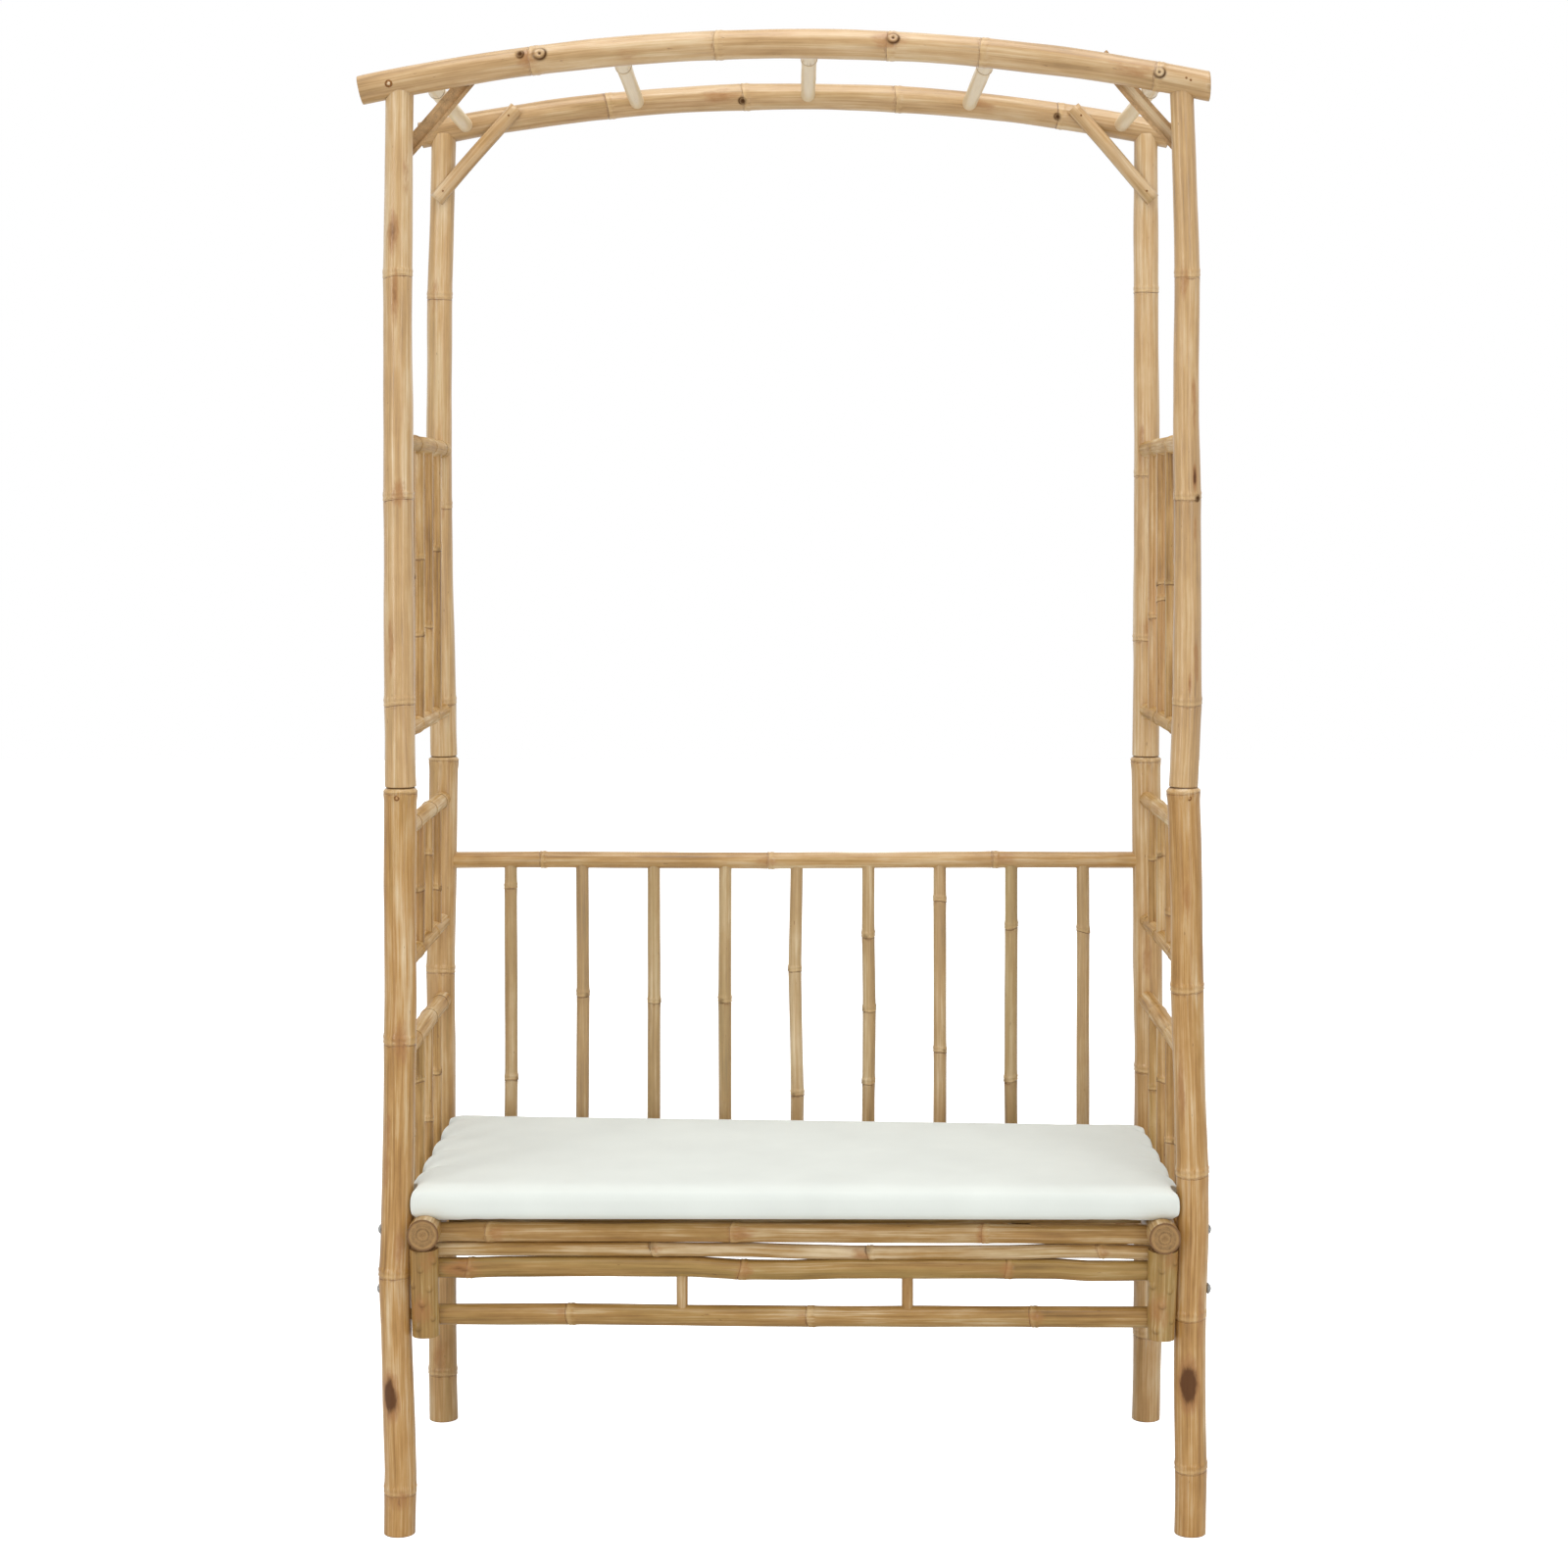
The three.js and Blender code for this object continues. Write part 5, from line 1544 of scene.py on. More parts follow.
LEG_KNOBS = (
    (0.12, 30, 6 * MM), (0.2, -40, 4 * MM), (0.36, 5, 5 * MM), (0.5, -25, 4 * MM), (0.55, 50, 6 * MM),
    (0.7, 10, 4 * MM), (0.78, -50, 5 * MM), (0.9, 25, 4 * MM),
)
RAIL_TONES = {"top_rail": 0.4, "ledger": 2.6, "middle_rail": -1.6, "bottom_rail": -0.4}
RAIL_TINTS = {"top_rail": -0.1, "ledger": 0.0, "middle_rail": 0.5, "bottom_rail": 0.2}
RAIL_STAINS = {
    "top_rail": ((0.085, 0, 12 * MM, 70, 0.5), (0.425, 0, 22 * MM, 60, 0.5), (0.76, 0, 7 * MM, 80, 0.6)),
    "ledger": ((0.31, 0, 10 * MM, 60, 0.35), (0.59, 0, 14 * MM, 60, 0.5), (0.93, 0, 12 * MM, 60, 0.4)),
    "middle_rail": (
        (0.045, 10, 26 * MM, 60, 0.7), (0.43, 0, 14 * MM, 70, 0.45), (0.79, 0, 12 * MM, 70, 0.45)),
    "bottom_rail": (
        (0.2, 0, 10 * MM, 70, 0.35), (0.51, 0, 10 * MM, 60, 0.35), (0.81, 0, 14 * MM, 70, 0.35)),
}


def leg_mouth(rail, level):
    """A function that cuts a short leg's top to the side rail, and its front and back walls lower."""
    reach = SIDE_RAIL_DIA / 2 + SADDLE_GAP

    def shape(points):
        across = np.clip(np.abs(points[:, X] - rail[X]), 0, reach)
        saddle = rail[Z] - np.sqrt(reach ** 2 - across ** 2)
        wall = level + LEG_MOUTH_RISE * (across / reach) ** 4
        points[:, Z] = np.minimum(points[:, Z], np.minimum(saddle, wall))
        return points

    return shape


def build_seat_frame():
    for side, sign in SIDES.items():
        node = f"seat_side_rail_{side}"
        shift = (sign * SIDE_RAIL_SHIFT[side], 0, RAIL_SAG[side])
        start, end = (place + shift for place in pole_ends(node, Y))
        start[Y] -= SIDE_RAIL_SPARE
        end[Y] += SIDE_RAIL_SPARE
        rail = Pole(
            node + "_cane", start, end, SIDE_RAIL_DIA, SIDE_RAIL_DIA, nodes=SIDE_RAIL_NODE_SHARES,
            lean=tuple(UP), slot="bamboo_seat", ends=("disc", "disc"), tone=-0.2)
        make_pole(rail, [node])
        for row in ROWS:
            leg_node = side_name(row, side, "seat_leg")
            low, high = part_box(leg_node)
            y = float(post_place(row, side)[Y]) - ROWS[row] * SEAT_LEG_SHIFT
            low_x, high_x = (sign * place for place in SEAT_LEG_PLACES[side])
            foot = np.array((low_x, y, low[Z] + RAIL_SAG[side] + SEAT_LEG_FOOT_LIFT))
            leg = Pole(
                leg_node + "_cane", foot, place_of(foot, x=high_x, z=high[Z]), *SEAT_LEG_DIAS[side],
                slot="bamboo_seat", ends=("hollow", "bored"), tone=-0.4, tint=0.5, stains=LEG_STAINS,
                knobs=LEG_KNOBS)
            make_pole(leg, [leg_node], leg_mouth(start, LEG_MOUTH_LEVEL[side]))
    for row in ROWS:
        for rail, dia in FRONT_RAIL_DIAS.items():
            node = f"seat_{row}_{rail}"
            if node in frame["nodes"]:
                build_rail(node, rail, dia)
    for i, sign in enumerate(SIDES.values()):
        build_short_spindle(i + 1, sign * SHORT_SPINDLE_SPACING / 2)


def build_rail(node, rail, dia):
    inward = FRONT_RAIL_SHIFT * (1 if "front" in node else -1)
    start, end = (place + (0, inward, RAIL_SAG[side]) for place, side in zip(pole_ends(node, X), SIDES))
    tenon = (0.0, 0.0)
    if rail in ("ledger", "middle_rail"):
        start[X] -= RAIL_END_SPARE
        end[X] += RAIL_END_SPARE
    if rail == "bottom_rail":
        shoulder = abs(start[X]) - abs(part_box("seat_front_ledger")[LOW][X]) - RAIL_END_SPARE
        tenon = (shoulder, THROUGH_TENON_DIA)
    pole = Pole(
        node + "_cane", start, end, dia, dia, nodes=RAIL_NODE_SHARES[rail], bends=RAIL_BENDS[rail],
        lean=tuple(UP), slot="bamboo_seat", tenon=tenon,
        tone=RAIL_TONES[rail], tint=RAIL_TINTS[rail], stains=RAIL_STAINS[rail])
    make_pole(pole, [node])


def build_short_spindle(number, x):
    y = float(post_place("front", "left")[Y]) + FRONT_RAIL_SHIFT
    bottom = end_centre("seat_front_bottom_rail", X, LOW)[Z] + FRONT_RAIL_DIAS["bottom_rail"] / 2
    foot = np.array((x, y, bottom - SPINDLE_TENON))
    spindle = Pole(
        f"seat_short_spindle_{number}", foot, place_of(foot, z=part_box("seat_front_bottom_rail")[HIGH][Z]),
        SHORT_SPINDLE_DIA, SHORT_SPINDLE_DIA, slot="bamboo_seat", tone=0.2, tint=-0.2)
    make_pole(spindle)


# Seat deck: eight flat laths along the bench on three bearers.
LATH_COUNT = 8
LATH_WIDTH = 40 * MM
LATH_THICKNESS = 9 * MM
LATH_ROUNDING = 2 * MM
LATH_SPREAD = 462 * MM
BEARER_COUNT = 3
BEARER_SPACING = 310 * MM
BEARER_WIDTH = 28 * MM
BEARER_HEIGHT = 13 * MM


def build_deck():
    low, high = (np.array(corner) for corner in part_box("seat_deck"))
    pitch = (LATH_SPREAD - LATH_WIDTH) / (LATH_COUNT - 1)
    start = np.array((0.0, -pitch * (LATH_COUNT - 1) / 2, high[Z] - LATH_THICKNESS / 2))
    laths = grown(
        "seat_laths", bpy.data.meshes.new("laths"), lath_tree, count=LATH_COUNT, start=tuple(start),
        pitch=(0.0, pitch, 0.0), along=(high[X] - low[X], 0.0, 0.0), width=LATH_WIDTH,
        thickness=LATH_THICKNESS, rounding=LATH_ROUNDING, material=materials()["bamboo_seat"])
    add_plain_values(laths.data, 3.0, tint=0.2)
    add_grain(laths.data, X)
    settle(laths, "frame", ["seat_deck"])
    start = np.array((-BEARER_SPACING * (BEARER_COUNT - 1) / 2, 0.0, low[Z] + BEARER_HEIGHT / 2))
    bearers = grown(
        "seat_bearers", bpy.data.meshes.new("bearers"), lath_tree, count=BEARER_COUNT, start=tuple(start),
        pitch=(BEARER_SPACING, 0.0, 0.0), along=(0.0, high[Y] - low[Y], 0.0), width=BEARER_WIDTH,
        thickness=BEARER_HEIGHT, rounding=LATH_ROUNDING, material=materials()["bamboo_seat"])
    add_plain_values(bearers.data, 8.0, tint=0.2)
    add_grain(bearers.data, Y)
    settle(bearers)


def add_grain(mesh, axis):
    """The grain of a flat strip runs along one axis."""
    points = read_points(mesh)
    order = [other for other in (X, Y, Z) if other != axis] + [axis]
    add_vectors(mesh, "grain", points[:, order])


# Fixings: domed bolts, nails and pins.
BOLT_HEAD_RADIUS = 6.5 * MM
BOLT_HEAD_HEIGHT = 4.2 * MM
BOLT_WASHER_RADIUS = 7.5 * MM
BOLT_WASHER_THICKNESS = 1.2 * MM
BOLT_LEVELS = ("upper", "lower")
# Each kind of fixing, as its layers: radius, height and look.
FIXING_LAYERS = {
    "plug": ((5.4 * MM, 1.2 * MM, "scorch"), (2.8 * MM, 2.0 * MM, "pin")),
    "pin": ((3.9 * MM, 0.75 * MM, "scorch"), (2.2 * MM, 1.1 * MM, "cane_pin")),
    "nail": ((1.6 * MM, 0.7 * MM, "scorch"),),
}
NAIL_PROUD = 0.1 * MM
NAIL_SPACING = 6 * MM
NAIL_SLOPE = 0.3
BOLT_SINK = 1.5 * MM
PIN_DROP = 13.3 * MM
PIN_SWELLING = 0.5 * MM
PIN_PLACES = {"left": -541 * MM, "right": 535.6 * MM}
BEAM_NAIL_X = {"left": -552 * MM, "right": 535 * MM}
BEAM_NAIL_LIFT = {"left": -2 * MM, "right": 1 * MM}


def fixing_points(name, places):
    """A mesh of loose points, each with the direction that its head faces."""
    mesh = bpy.data.meshes.new(name)
    mesh.from_pydata([tuple(place) for place, _ in places], [], [])
    add_vectors(mesh, "facing", [way for _, way in places])
    return mesh


def build_bolts():
    for level in BOLT_LEVELS:
        for side in SIDES:
            node = f"bolt_{level}_{side}"
            low, high = (np.array(corner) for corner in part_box(node))
            way = np.array((float(SIDES[side]), 0.0, 0.0))
            head_x = (high if SIDES[side] > 0 else low)[X] - way[X] * (BOLT_HEAD_HEIGHT + BOLT_SINK)
            for row in ROWS:
                place = np.array((head_x, post_place(row, side)[Y], (low[Z] + high[Z]) / 2))
                piece = grown(
                    f"{row}_{node}", fixing_points(node, [(place, way)]), head_tree,
                    radius=BOLT_HEAD_RADIUS, height=BOLT_HEAD_HEIGHT, washer=BOLT_WASHER_RADIUS,
                    washer_thickness=BOLT_WASHER_THICKNESS, material=materials()["bolt_steel"])
                settle(piece, "frame", [node] if row == "front" else [])


def beam_fixing(row, x, lift):
    """A place on a beam's outer face and the way it looks."""
    crown = arch_crown(row)
    outward = np.array((0.0, float(ROWS[row]), 0.0))
    proud = math.sqrt((BEAM_DIA / 2) ** 2 - lift ** 2) + NAIL_PROUD
    return np.array((x, crown[Y], crown[Z] - float(arch_drop(x)) + lift)) + outward * proud, outward


def pin_place(row, side):
    """The pin that holds an upper post in the mouth of the lower one."""
    foot = post_place(row, side)
    outward = np.array((0.0, float(ROWS[row]), 0.0))
    middle = foot[X] + SIDES[side] * JOINT_LEAN.get(f"{row}_{side}", 0.0)
    radius = LOWER_POST_DIAS[1] / 2 + PIN_SWELLING
    proud = math.sqrt(radius ** 2 - (PIN_PLACES[side] - middle) ** 2)
    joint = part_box(side_name(row, side, "post_lower"))[HIGH][Z]
    return np.array((PIN_PLACES[side], foot[Y], joint - PIN_DROP)) + outward * proud, outward


def fixing_places():
    """Places of every kind of fixing: through the beams, at the posts' joints and in the braces."""
    places = {"plug": [], "pin": [], "nail": []}
    for row in ROWS:
        for side in SIDES:
            x, lift = BEAM_NAIL_X[side], BEAM_NAIL_LIFT[side]
            if (row, side) == ("front", "left"):
                places["plug"].append(beam_fixing(row, x, lift))
            else:
                for step in (-0.5 * NAIL_SPACING, 0.5 * NAIL_SPACING):
                    places["nail"].append(beam_fixing(row, x + step, lift - NAIL_SLOPE * step))
            places["pin"].append(pin_place(row, side))
            middle, axis, _, facing, thickness = brace_frame(row, side)
            for end in (-1, 1):
                spot = middle + axis * end * (BRACE_LENGTH / 2 - BRACE_NAIL_INSET) + facing * thickness / 2
                places["nail"].append((spot, facing))
    return places


def build_nails():
    for kind, places in fixing_places().items():
        for i, (radius, height, look) in enumerate(FIXING_LAYERS[kind]):
            name = f"{kind}_layer_{i + 1}"
            heads = grown(
                name, fixing_points(name, places), head_tree, radius=radius, height=height, washer=0.0,
                washer_thickness=0.0, material=materials()[look])
            settle(heads)


# Cushion: one soft pad, stuffed by a cloth simulation and pressed in by the side spindles.
CUSHION_CAP = 3.5 * MM
CUSHION_OVERHANG = 18.5 * MM
CUSHION_FRONT_SPARE = 2 * MM
CUSHION_BACK_SPARE = 18 * MM
CUSHION_ROLL = np.array((6 * MM, 13 * MM, 13 * MM))
CUSHION_CROWN = 1.5 * MM
CUSHION_STEPS = (60, 28, 6)
CLOTH_SETTINGS = {
    "quality": 4, "mass": 0.3, "tension_stiffness": 15, "compression_stiffness": 5, "shear_stiffness": 5,
    "bending_stiffness": 0.3, "use_pressure": True,
}
POST_GAP = 1 * MM
NOTCH_GAIN = {"left": 1.0, "right": 0.8}
NOTCH_REACH = 17 * MM
FOLD_REACH = 40 * MM
FOLD_DRIFT = 9 * MM
EDGE_RISE = 0.8 * MM
TOP_RIPPLE = 0.6 * MM
CUSHION_SKEW = 28 * MM
CUSHION_TILT = 2 * MM
CUSHION_LIFT = 250 * MM
HIGHEST_PAD = 475.5 * MM


def cushion_box():
    """The room that the pad fills: wider and deeper than its solid, and flat on top."""
    low, high = (np.array(corner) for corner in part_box("cushion"))
    low -= (CUSHION_OVERHANG, CUSHION_FRONT_SPARE, 0)
    high += (CUSHION_OVERHANG, CUSHION_BACK_SPARE, 0)
    high[Z] = HIGHEST_PAD
    return low, high


def cushion_blank(name, settings):
    """A soft-edged box, a little smaller than the pad, with an even fine mesh."""
    low, high = cushion_box()
    low += settings.shrink
    high -= settings.shrink
    middle = (low + high) / 2
    half = (high - low) / 2
    work = bmesh.new()
    bmesh.ops.create_cube(work, size=2.0)
    for edge_axis, cuts in zip((X, Y, Z), CUSHION_STEPS):
        along = [edge for edge in work.edges
                 if abs(abs(edge.verts[0].co[edge_axis] - edge.verts[1].co[edge_axis]) - 2) < LEAST_STEP]
        bmesh.ops.subdivide_edges(work, edges=along, cuts=cuts, use_grid_fill=True)
    mesh = bpy.data.meshes.new(name)
    work.to_mesh(mesh)
    work.free()
    unit = read_points(mesh)
    core = half - CUSHION_ROLL
    points = unit * half
    inner = np.clip(points, -core, core)
    away = points - inner
    reach = np.linalg.norm(away / CUSHION_ROLL, axis=1, keepdims=True)
    points = inner + away / np.maximum(reach, 1)
    crown = np.cos(unit[:, X] * math.pi / 2) * np.cos(unit[:, Y] * math.pi / 2)
    points[:, Z] += CUSHION_CROWN * crown * (unit[:, Z] > 0)
    write_points(mesh, points + middle)
    blank = placed(name, mesh)
    remesh = blank.modifiers.new("Even", "REMESH")
    remesh.mode = "VOXEL"
    remesh.voxel_size = settings.voxel
    apply_modifiers(blank)
    return blank


def apply_modifiers(piece):
    """Makes what the modifiers show the piece's own mesh, and removes them."""
    depsgraph = bpy.context.evaluated_depsgraph_get()
    mesh = bpy.data.meshes.new_from_object(piece.evaluated_get(depsgraph), depsgraph=depsgraph)
    piece.modifiers.clear()
    old = piece.data
    piece.data = mesh
    bpy.data.meshes.remove(old)
    mesh.name = piece.name


def stuff(piece, settings):
    """Fills the pad by a pressure simulation, with the movement of each point limited."""
    start = read_points(piece.data)
    cloth = piece.modifiers.new("Stuffing", "CLOTH")
    for setting, value in CLOTH_SETTINGS.items():
        setattr(cloth.settings, setting, value)
    cloth.settings.uniform_pressure_force = settings.pressure
    cloth.settings.effector_weights.gravity = 0
    cloth.point_cache.frame_start = 1
    cloth.point_cache.frame_end = settings.frames
    scene = bpy.context.scene
    for number in range(1, settings.frames + 1):
        scene.frame_set(number)
    apply_modifiers(piece)
    scene.frame_set(1)
    moved = read_points(piece.data) - start
    far = np.linalg.norm(moved, axis=1, keepdims=True)
    write_points(piece.data, start + moved * np.minimum(1, CUSHION_CAP / np.maximum(far, LEAST_STEP)))


def smooth_noise(values, seed):
    """A slow wave without a visible period, between about -1 and 1."""
    waves = [(1.0, 0.5), (2.3, 0.3), (4.1, 0.2)]
    return sum(share * np.sin(rate * values + seed * (i + 1)) for i, (rate, share) in enumerate(waves))


def draw_in(points, settings):
    """The pad bulges between the side spindles, with a notch and a short fold at each of them."""
    low, high = cushion_box()
    out = points.copy()
    share_y = (points[:, Y] - low[Y]) / (high[Y] - low[Y])
    lift = np.clip((points[:, Z] - low[Z]) / (high[Z] - low[Z]), 0, 1)
    for side, sign in SIDES.items():
        edge = high[X] if sign > 0 else -low[X]
        inward = edge - sign * points[:, X]
        valley = np.zeros(len(points))
        for spot in SPINDLE_PLACES:
            drift = FOLD_DRIFT * smooth_noise(inward * 40, spot * 90) * np.clip(inward / FOLD_REACH, 0, 1)
            valley = np.maximum(valley, np.exp(-np.abs(points[:, Y] - spot - drift) / NOTCH_REACH))
        depth = settings.notch_depth * NOTCH_GAIN[side] * valley
        reach = FOLD_REACH * (0.8 + 0.3 * smooth_noise(share_y * 23, 1.0))
        out[:, X] -= sign * depth * hump(inward, 0.0, 0.4 * FOLD_REACH)
        out[:, Z] -= 0.6 * depth * valley * hump(inward, 0.0, reach) * lift ** 2
        out[:, Z] += EDGE_RISE * hump(inward, 0.0, 1.4 * reach) * lift * (1 - valley)
    out[:, Y] -= CUSHION_SKEW * share_y * points[:, X] / high[X]
    out[:, Z] -= CUSHION_TILT * lift * points[:, X] / high[X]
    ripple = smooth_noise(points[:, X] * 9, 1.0) * smooth_noise(points[:, Y] * 13, 4.0)
    out[:, Z] += TOP_RIPPLE * ripple * lift ** 3
    return out


def clear_posts(points):
    """The pad gives way round the posts, by as much as they lean in along its lift."""
    low, high = cushion_box()
    for row, side in CORNERS:
        sign = SIDES[side]
        culm = read_points(bpy.data.objects[f"{row}_{side}_lower_culm"].data)
        beside = culm[(culm[:, Z] > low[Z]) & (culm[:, Z] < high[Z] + CUSHION_LIFT)]
        radius = np.ptp(beside[:, Y]) / 2
        nearest = np.abs(beside[:, X]).min()
        middle = np.array((sign * (nearest + radius), (beside[:, Y].max() + beside[:, Y].min()) / 2))
        away = points[:, :2] - middle
        reach = np.linalg.norm(away, axis=1, keepdims=True)
        pushed = middle + away * (radius + POST_GAP) / np.maximum(reach, LEAST_STEP)
        points[:, :2] = np.where(reach < radius + POST_GAP, pushed, points[:, :2])
    return points


def build_cushion():
    settings = bpy.context.scene.arbour_cushion
    piece = cushion_blank("seat_cushion", settings)
    stuff(piece, settings)
    finer = piece.modifiers.new("Finer", "SUBSURF")
    finer.levels = 1
    finer.render_levels = 1
    apply_modifiers(piece)
    points = clear_posts(draw_in(read_points(piece.data), settings))
    write_points(piece.data, points)
    piece.data.materials.clear()
    piece.data.materials.append(materials()["cushion_fabric"])
    piece.data.polygons.foreach_set("use_smooth", [True] * len(piece.data.polygons))
    settle(piece, "cushion", ["cushion"])


# Stage: floor, light and camera.
FLOOR_HALF = 12.0
SENSOR_WIDTH = 36
WHITE = (1.0, 1.0, 1.0, 1.0)
LAMP_AIM = (0.0, 0.0, 1.0)
# Each lamp: the setting of its power, its place and its size.
LAMPS = {
    "key": ("key_watts", (-2.9, -3.4, 1.9), (0.7, 3.4)),
    "fill": ("fill_watts", (2.1, -3.8, 1.7), (0.7, 3.2)),
    "top": ("top_watts", (0.2, -0.8, 4.4), (2.6, 2.0)),
}


def add_lamp(name, place, size, watts):
    """An oblong soft lamp that looks at the middle of the object."""
    light = bpy.data.lights.new(name, "AREA")
    light.shape = "RECTANGLE"
    light.size, light.size_y = size
    light.energy = watts
    lamp = placed(name, light)
    lamp.location = place
    way = np.subtract(LAMP_AIM, place)
    lamp.rotation_euler = (
        math.acos(-way[Z] / np.linalg.norm(way)), 0, math.atan2(way[Y], way[X]) - math.pi / 2)
    return lamp


def stage_floor(settings):
    """A wide pale floor, that the camera sees as white and that keeps the object's shadow."""
    mesh = bpy.data.meshes.new("floor")
    corners = [(x * FLOOR_HALF, y * FLOOR_HALF, 0.0) for x, y in ((-1, -1), (1, -1), (1, 1), (-1, 1))]
    mesh.from_pydata(corners, [], [(0, 1, 2, 3)])
    floor = placed("floor", mesh)
    material, graph, shader = new_material("floor_paint")
    shader.inputs["Base Color"].default_value = (*settings.floor_colour, 1.0)
    shader.inputs["Roughness"].default_value = 0.9
    shader.inputs["Specular IOR Level"].default_value = 0.0
    glow = graph.out("ShaderNodeEmission", {"Color": WHITE, "Strength": settings.floor_glow})
    seen = graph.node("ShaderNodeLightPath").outputs["Is Camera Ray"]
    nothing = graph.out("ShaderNodeEmission", {"Strength": 0.0})
    only_seen = graph.out("ShaderNodeMixShader", {0: seen, 1: nothing, 2: glow})
    both = graph.out("ShaderNodeAddShader", {0: shader.outputs[0], 1: only_seen})
    output = next(node for node in graph.tree.nodes if node.bl_idname == "ShaderNodeOutputMaterial")
    graph.feed(output.inputs["Surface"], both)
    mesh.materials.append(material)
    return floor


def stage_world(settings):
    """Soft light from the front and above, with a white that only the camera and reflections see."""
    world = bpy.data.worlds.new("studio")
    bpy.context.scene.world = world
    world.use_nodes = True
    world.node_tree.nodes.clear()
    graph = Graph(world.node_tree)
    path = graph.node("ShaderNodeLightPath")
    seen = graph.math("MAXIMUM", path.outputs["Is Camera Ray"], path.outputs["Is Glossy Ray"])
    seen = graph.math("MAXIMUM", seen, path.outputs["Is Transmission Ray"])
    way = graph.node("ShaderNodeSeparateXYZ", {0: graph.node("ShaderNodeTexCoord").outputs["Generated"]})
    level = graph.step(way.outputs["Y"], -0.7, 0.7, settings.sky, settings.sky_behind)
    strength = graph.plus(level, graph.step(way.outputs["Z"], 0.2, 1.0, 0.0, settings.sky_above))
    soft = graph.out("ShaderNodeBackground", {"Color": WHITE, "Strength": strength})
    white = graph.out("ShaderNodeBackground", {"Color": WHITE, "Strength": 1.0})
    mixed = graph.out("ShaderNodeMixShader", {0: seen, 1: soft, 2: white})
    graph.node("ShaderNodeOutputWorld", {"Surface": mixed})


def stage_camera(settings):
    """A level camera before the middle of the object, at the photograph's viewing angle."""
    camera = bpy.data.cameras.new("camera")
    camera.lens = settings.lens
    camera.sensor_width = SENSOR_WIDTH
    camera.shift_x = settings.shift_x
    camera.shift_y = settings.shift_y
    holder = placed("camera", camera)
    front = post_place("front", "left")[Y]
    holder.location = (0.0, front - settings.camera_distance, settings.camera_height)
    holder.rotation_euler = (math.pi / 2, 0.0, 0.0)
    bpy.context.scene.camera = holder
    return holder


def build_stage():
    settings = bpy.context.scene.arbour_stage
    floor = stage_floor(settings)
    stage_world(settings)
    camera = stage_camera(settings)
    lamps = [add_lamp(name, place, size, getattr(settings, power))
             for name, (power, place, size) in LAMPS.items()]
    bpy.context.scene.view_settings.view_transform = "Standard"


# The add-on: one operator for each group of pieces, and a panel.


class ARBOUR_OT_posts(bpy.types.Operator):
    """Make the four lower and the four upper posts"""

    bl_idname = "arbour.posts"
    bl_label = "Posts"
    bl_options = {"REGISTER", "UNDO"}

    def execute(self, context):
        build_posts()
        return {"FINISHED"}


class ARBOUR_OT_roof(bpy.types.Operator):
    """Make the two arched beams and the rungs between them"""

    bl_idname = "arbour.roof"
    bl_label = "Roof"
    bl_options = {"REGISTER", "UNDO"}

    def execute(self, context):
        build_roof()
        return {"FINISHED"}


class ARBOUR_OT_braces(bpy.types.Operator):
    """Make the split braces in the upper corners"""

    bl_idname = "arbour.braces"
    bl_label = "Braces"
    bl_options = {"REGISTER", "UNDO"}

    def execute(self, context):
        build_braces()
        return {"FINISHED"}


class ARBOUR_OT_sides(bpy.types.Operator):
    """Make the rungs and spindles of both ladder sides"""

    bl_idname = "arbour.sides"
    bl_label = "Ladder Sides"
    bl_options = {"REGISTER", "UNDO"}

    def execute(self, context):
        build_sides()
        return {"FINISHED"}


class ARBOUR_OT_backrest(bpy.types.Operator):
    """Make the backrest's rails and spindles"""

    bl_idname = "arbour.backrest"
    bl_label = "Backrest"
    bl_options = {"REGISTER", "UNDO"}

    def execute(self, context):
        build_backrest()
        return {"FINISHED"}


class ARBOUR_OT_seat_frame(bpy.types.Operator):
    """Make the side rails, the short legs and the rails between them"""

    bl_idname = "arbour.seat_frame"
    bl_label = "Seat Frame"
    bl_options = {"REGISTER", "UNDO"}

    def execute(self, context):
        build_seat_frame()
        return {"FINISHED"}


class ARBOUR_OT_deck(bpy.types.Operator):
    """Make the slatted deck and its bearers"""

    bl_idname = "arbour.deck"
    bl_label = "Deck"
    bl_options = {"REGISTER", "UNDO"}

    def execute(self, context):
        build_deck()
        return {"FINISHED"}


class ARBOUR_OT_bolts(bpy.types.Operator):
    """Make the domed bolts"""

    bl_idname = "arbour.bolts"
    bl_label = "Bolts"
    bl_options = {"REGISTER", "UNDO"}

    def execute(self, context):
        build_bolts()
        return {"FINISHED"}


class ARBOUR_OT_nails(bpy.types.Operator):
    """Make the nails and pins"""

    bl_idname = "arbour.nails"
    bl_label = "Nails"
    bl_options = {"REGISTER", "UNDO"}

    def execute(self, context):
        build_nails()
        return {"FINISHED"}


class ARBOUR_OT_cushion(bpy.types.Operator):
    """Make and stuff the seat cushion"""

    bl_idname = "arbour.cushion"
    bl_label = "Cushion"
    bl_options = {"REGISTER", "UNDO"}

    def execute(self, context):
        build_cushion()
        return {"FINISHED"}


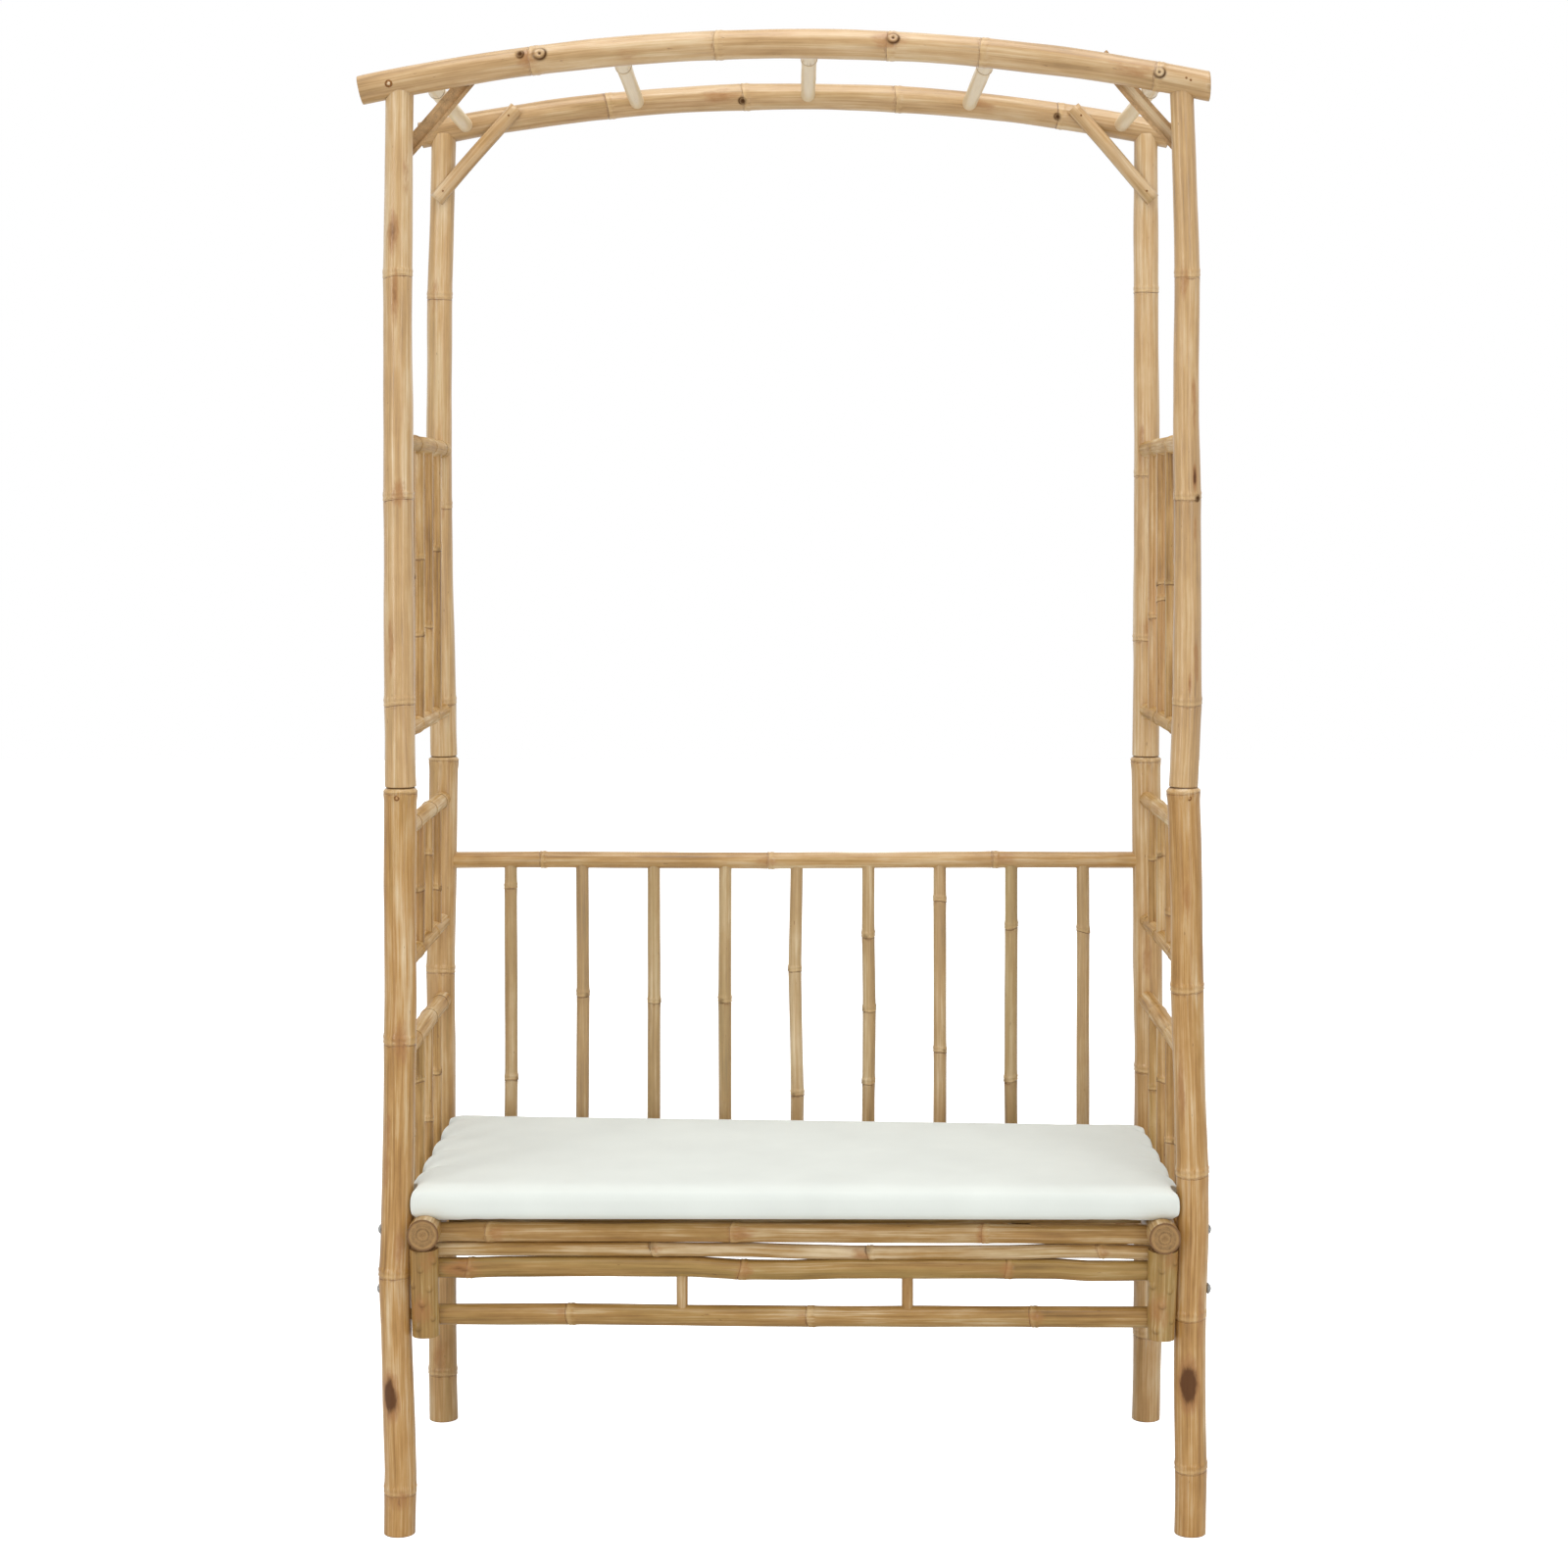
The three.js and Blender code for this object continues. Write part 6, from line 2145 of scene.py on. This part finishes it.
class ARBOUR_OT_stage(bpy.types.Operator):
    """Set up the floor, the light and the camera"""

    bl_idname = "arbour.stage"
    bl_label = "Stage"
    bl_options = {"REGISTER", "UNDO"}

    def execute(self, context):
        build_stage()
        return {"FINISHED"}


OPERATORS = (
    ARBOUR_OT_posts, ARBOUR_OT_roof, ARBOUR_OT_braces, ARBOUR_OT_sides, ARBOUR_OT_backrest,
    ARBOUR_OT_seat_frame, ARBOUR_OT_deck, ARBOUR_OT_bolts, ARBOUR_OT_nails, ARBOUR_OT_cushion,
    ARBOUR_OT_stage,
)
GROUPS = {"arbour_cane": CaneSettings, "arbour_cushion": CushionSettings, "arbour_stage": StageSettings}


class ARBOUR_PT_panel(bpy.types.Panel):
    """The arbour seat's settings and operators"""

    bl_label = "Arbour Seat"
    bl_idname = "ARBOUR_PT_panel"
    bl_space_type = "VIEW_3D"
    bl_region_type = "UI"
    bl_category = "Arbour Seat"

    def draw(self, context):
        """Lists the settings of each group, then the operators."""
        for name, group in GROUPS.items():
            box = self.layout.box()
            for key in group.__annotations__:
                box.prop(getattr(context.scene, name), key)
        for operator in OPERATORS:
            self.layout.operator(operator.bl_idname)


def register():
    for made in (*GROUPS.values(), *OPERATORS, ARBOUR_PT_panel):
        bpy.utils.register_class(made)
    for name, group in GROUPS.items():
        setattr(bpy.types.Scene, name, PointerProperty(type=group))


def unregister():
    for name in GROUPS:
        delattr(bpy.types.Scene, name)
    for made in reversed((*GROUPS.values(), *OPERATORS, ARBOUR_PT_panel)):
        bpy.utils.unregister_class(made)


def main():
    """Makes every piece and the stage in order."""
    register()
    bpy.ops.arbour.posts()
    bpy.ops.arbour.roof()
    bpy.ops.arbour.braces()
    bpy.ops.arbour.sides()
    bpy.ops.arbour.backrest()
    bpy.ops.arbour.seat_frame()
    bpy.ops.arbour.deck()
    bpy.ops.arbour.bolts()
    bpy.ops.arbour.nails()
    bpy.ops.arbour.cushion()
    bpy.ops.arbour.stage()


if __name__ == "__main__":
    main()
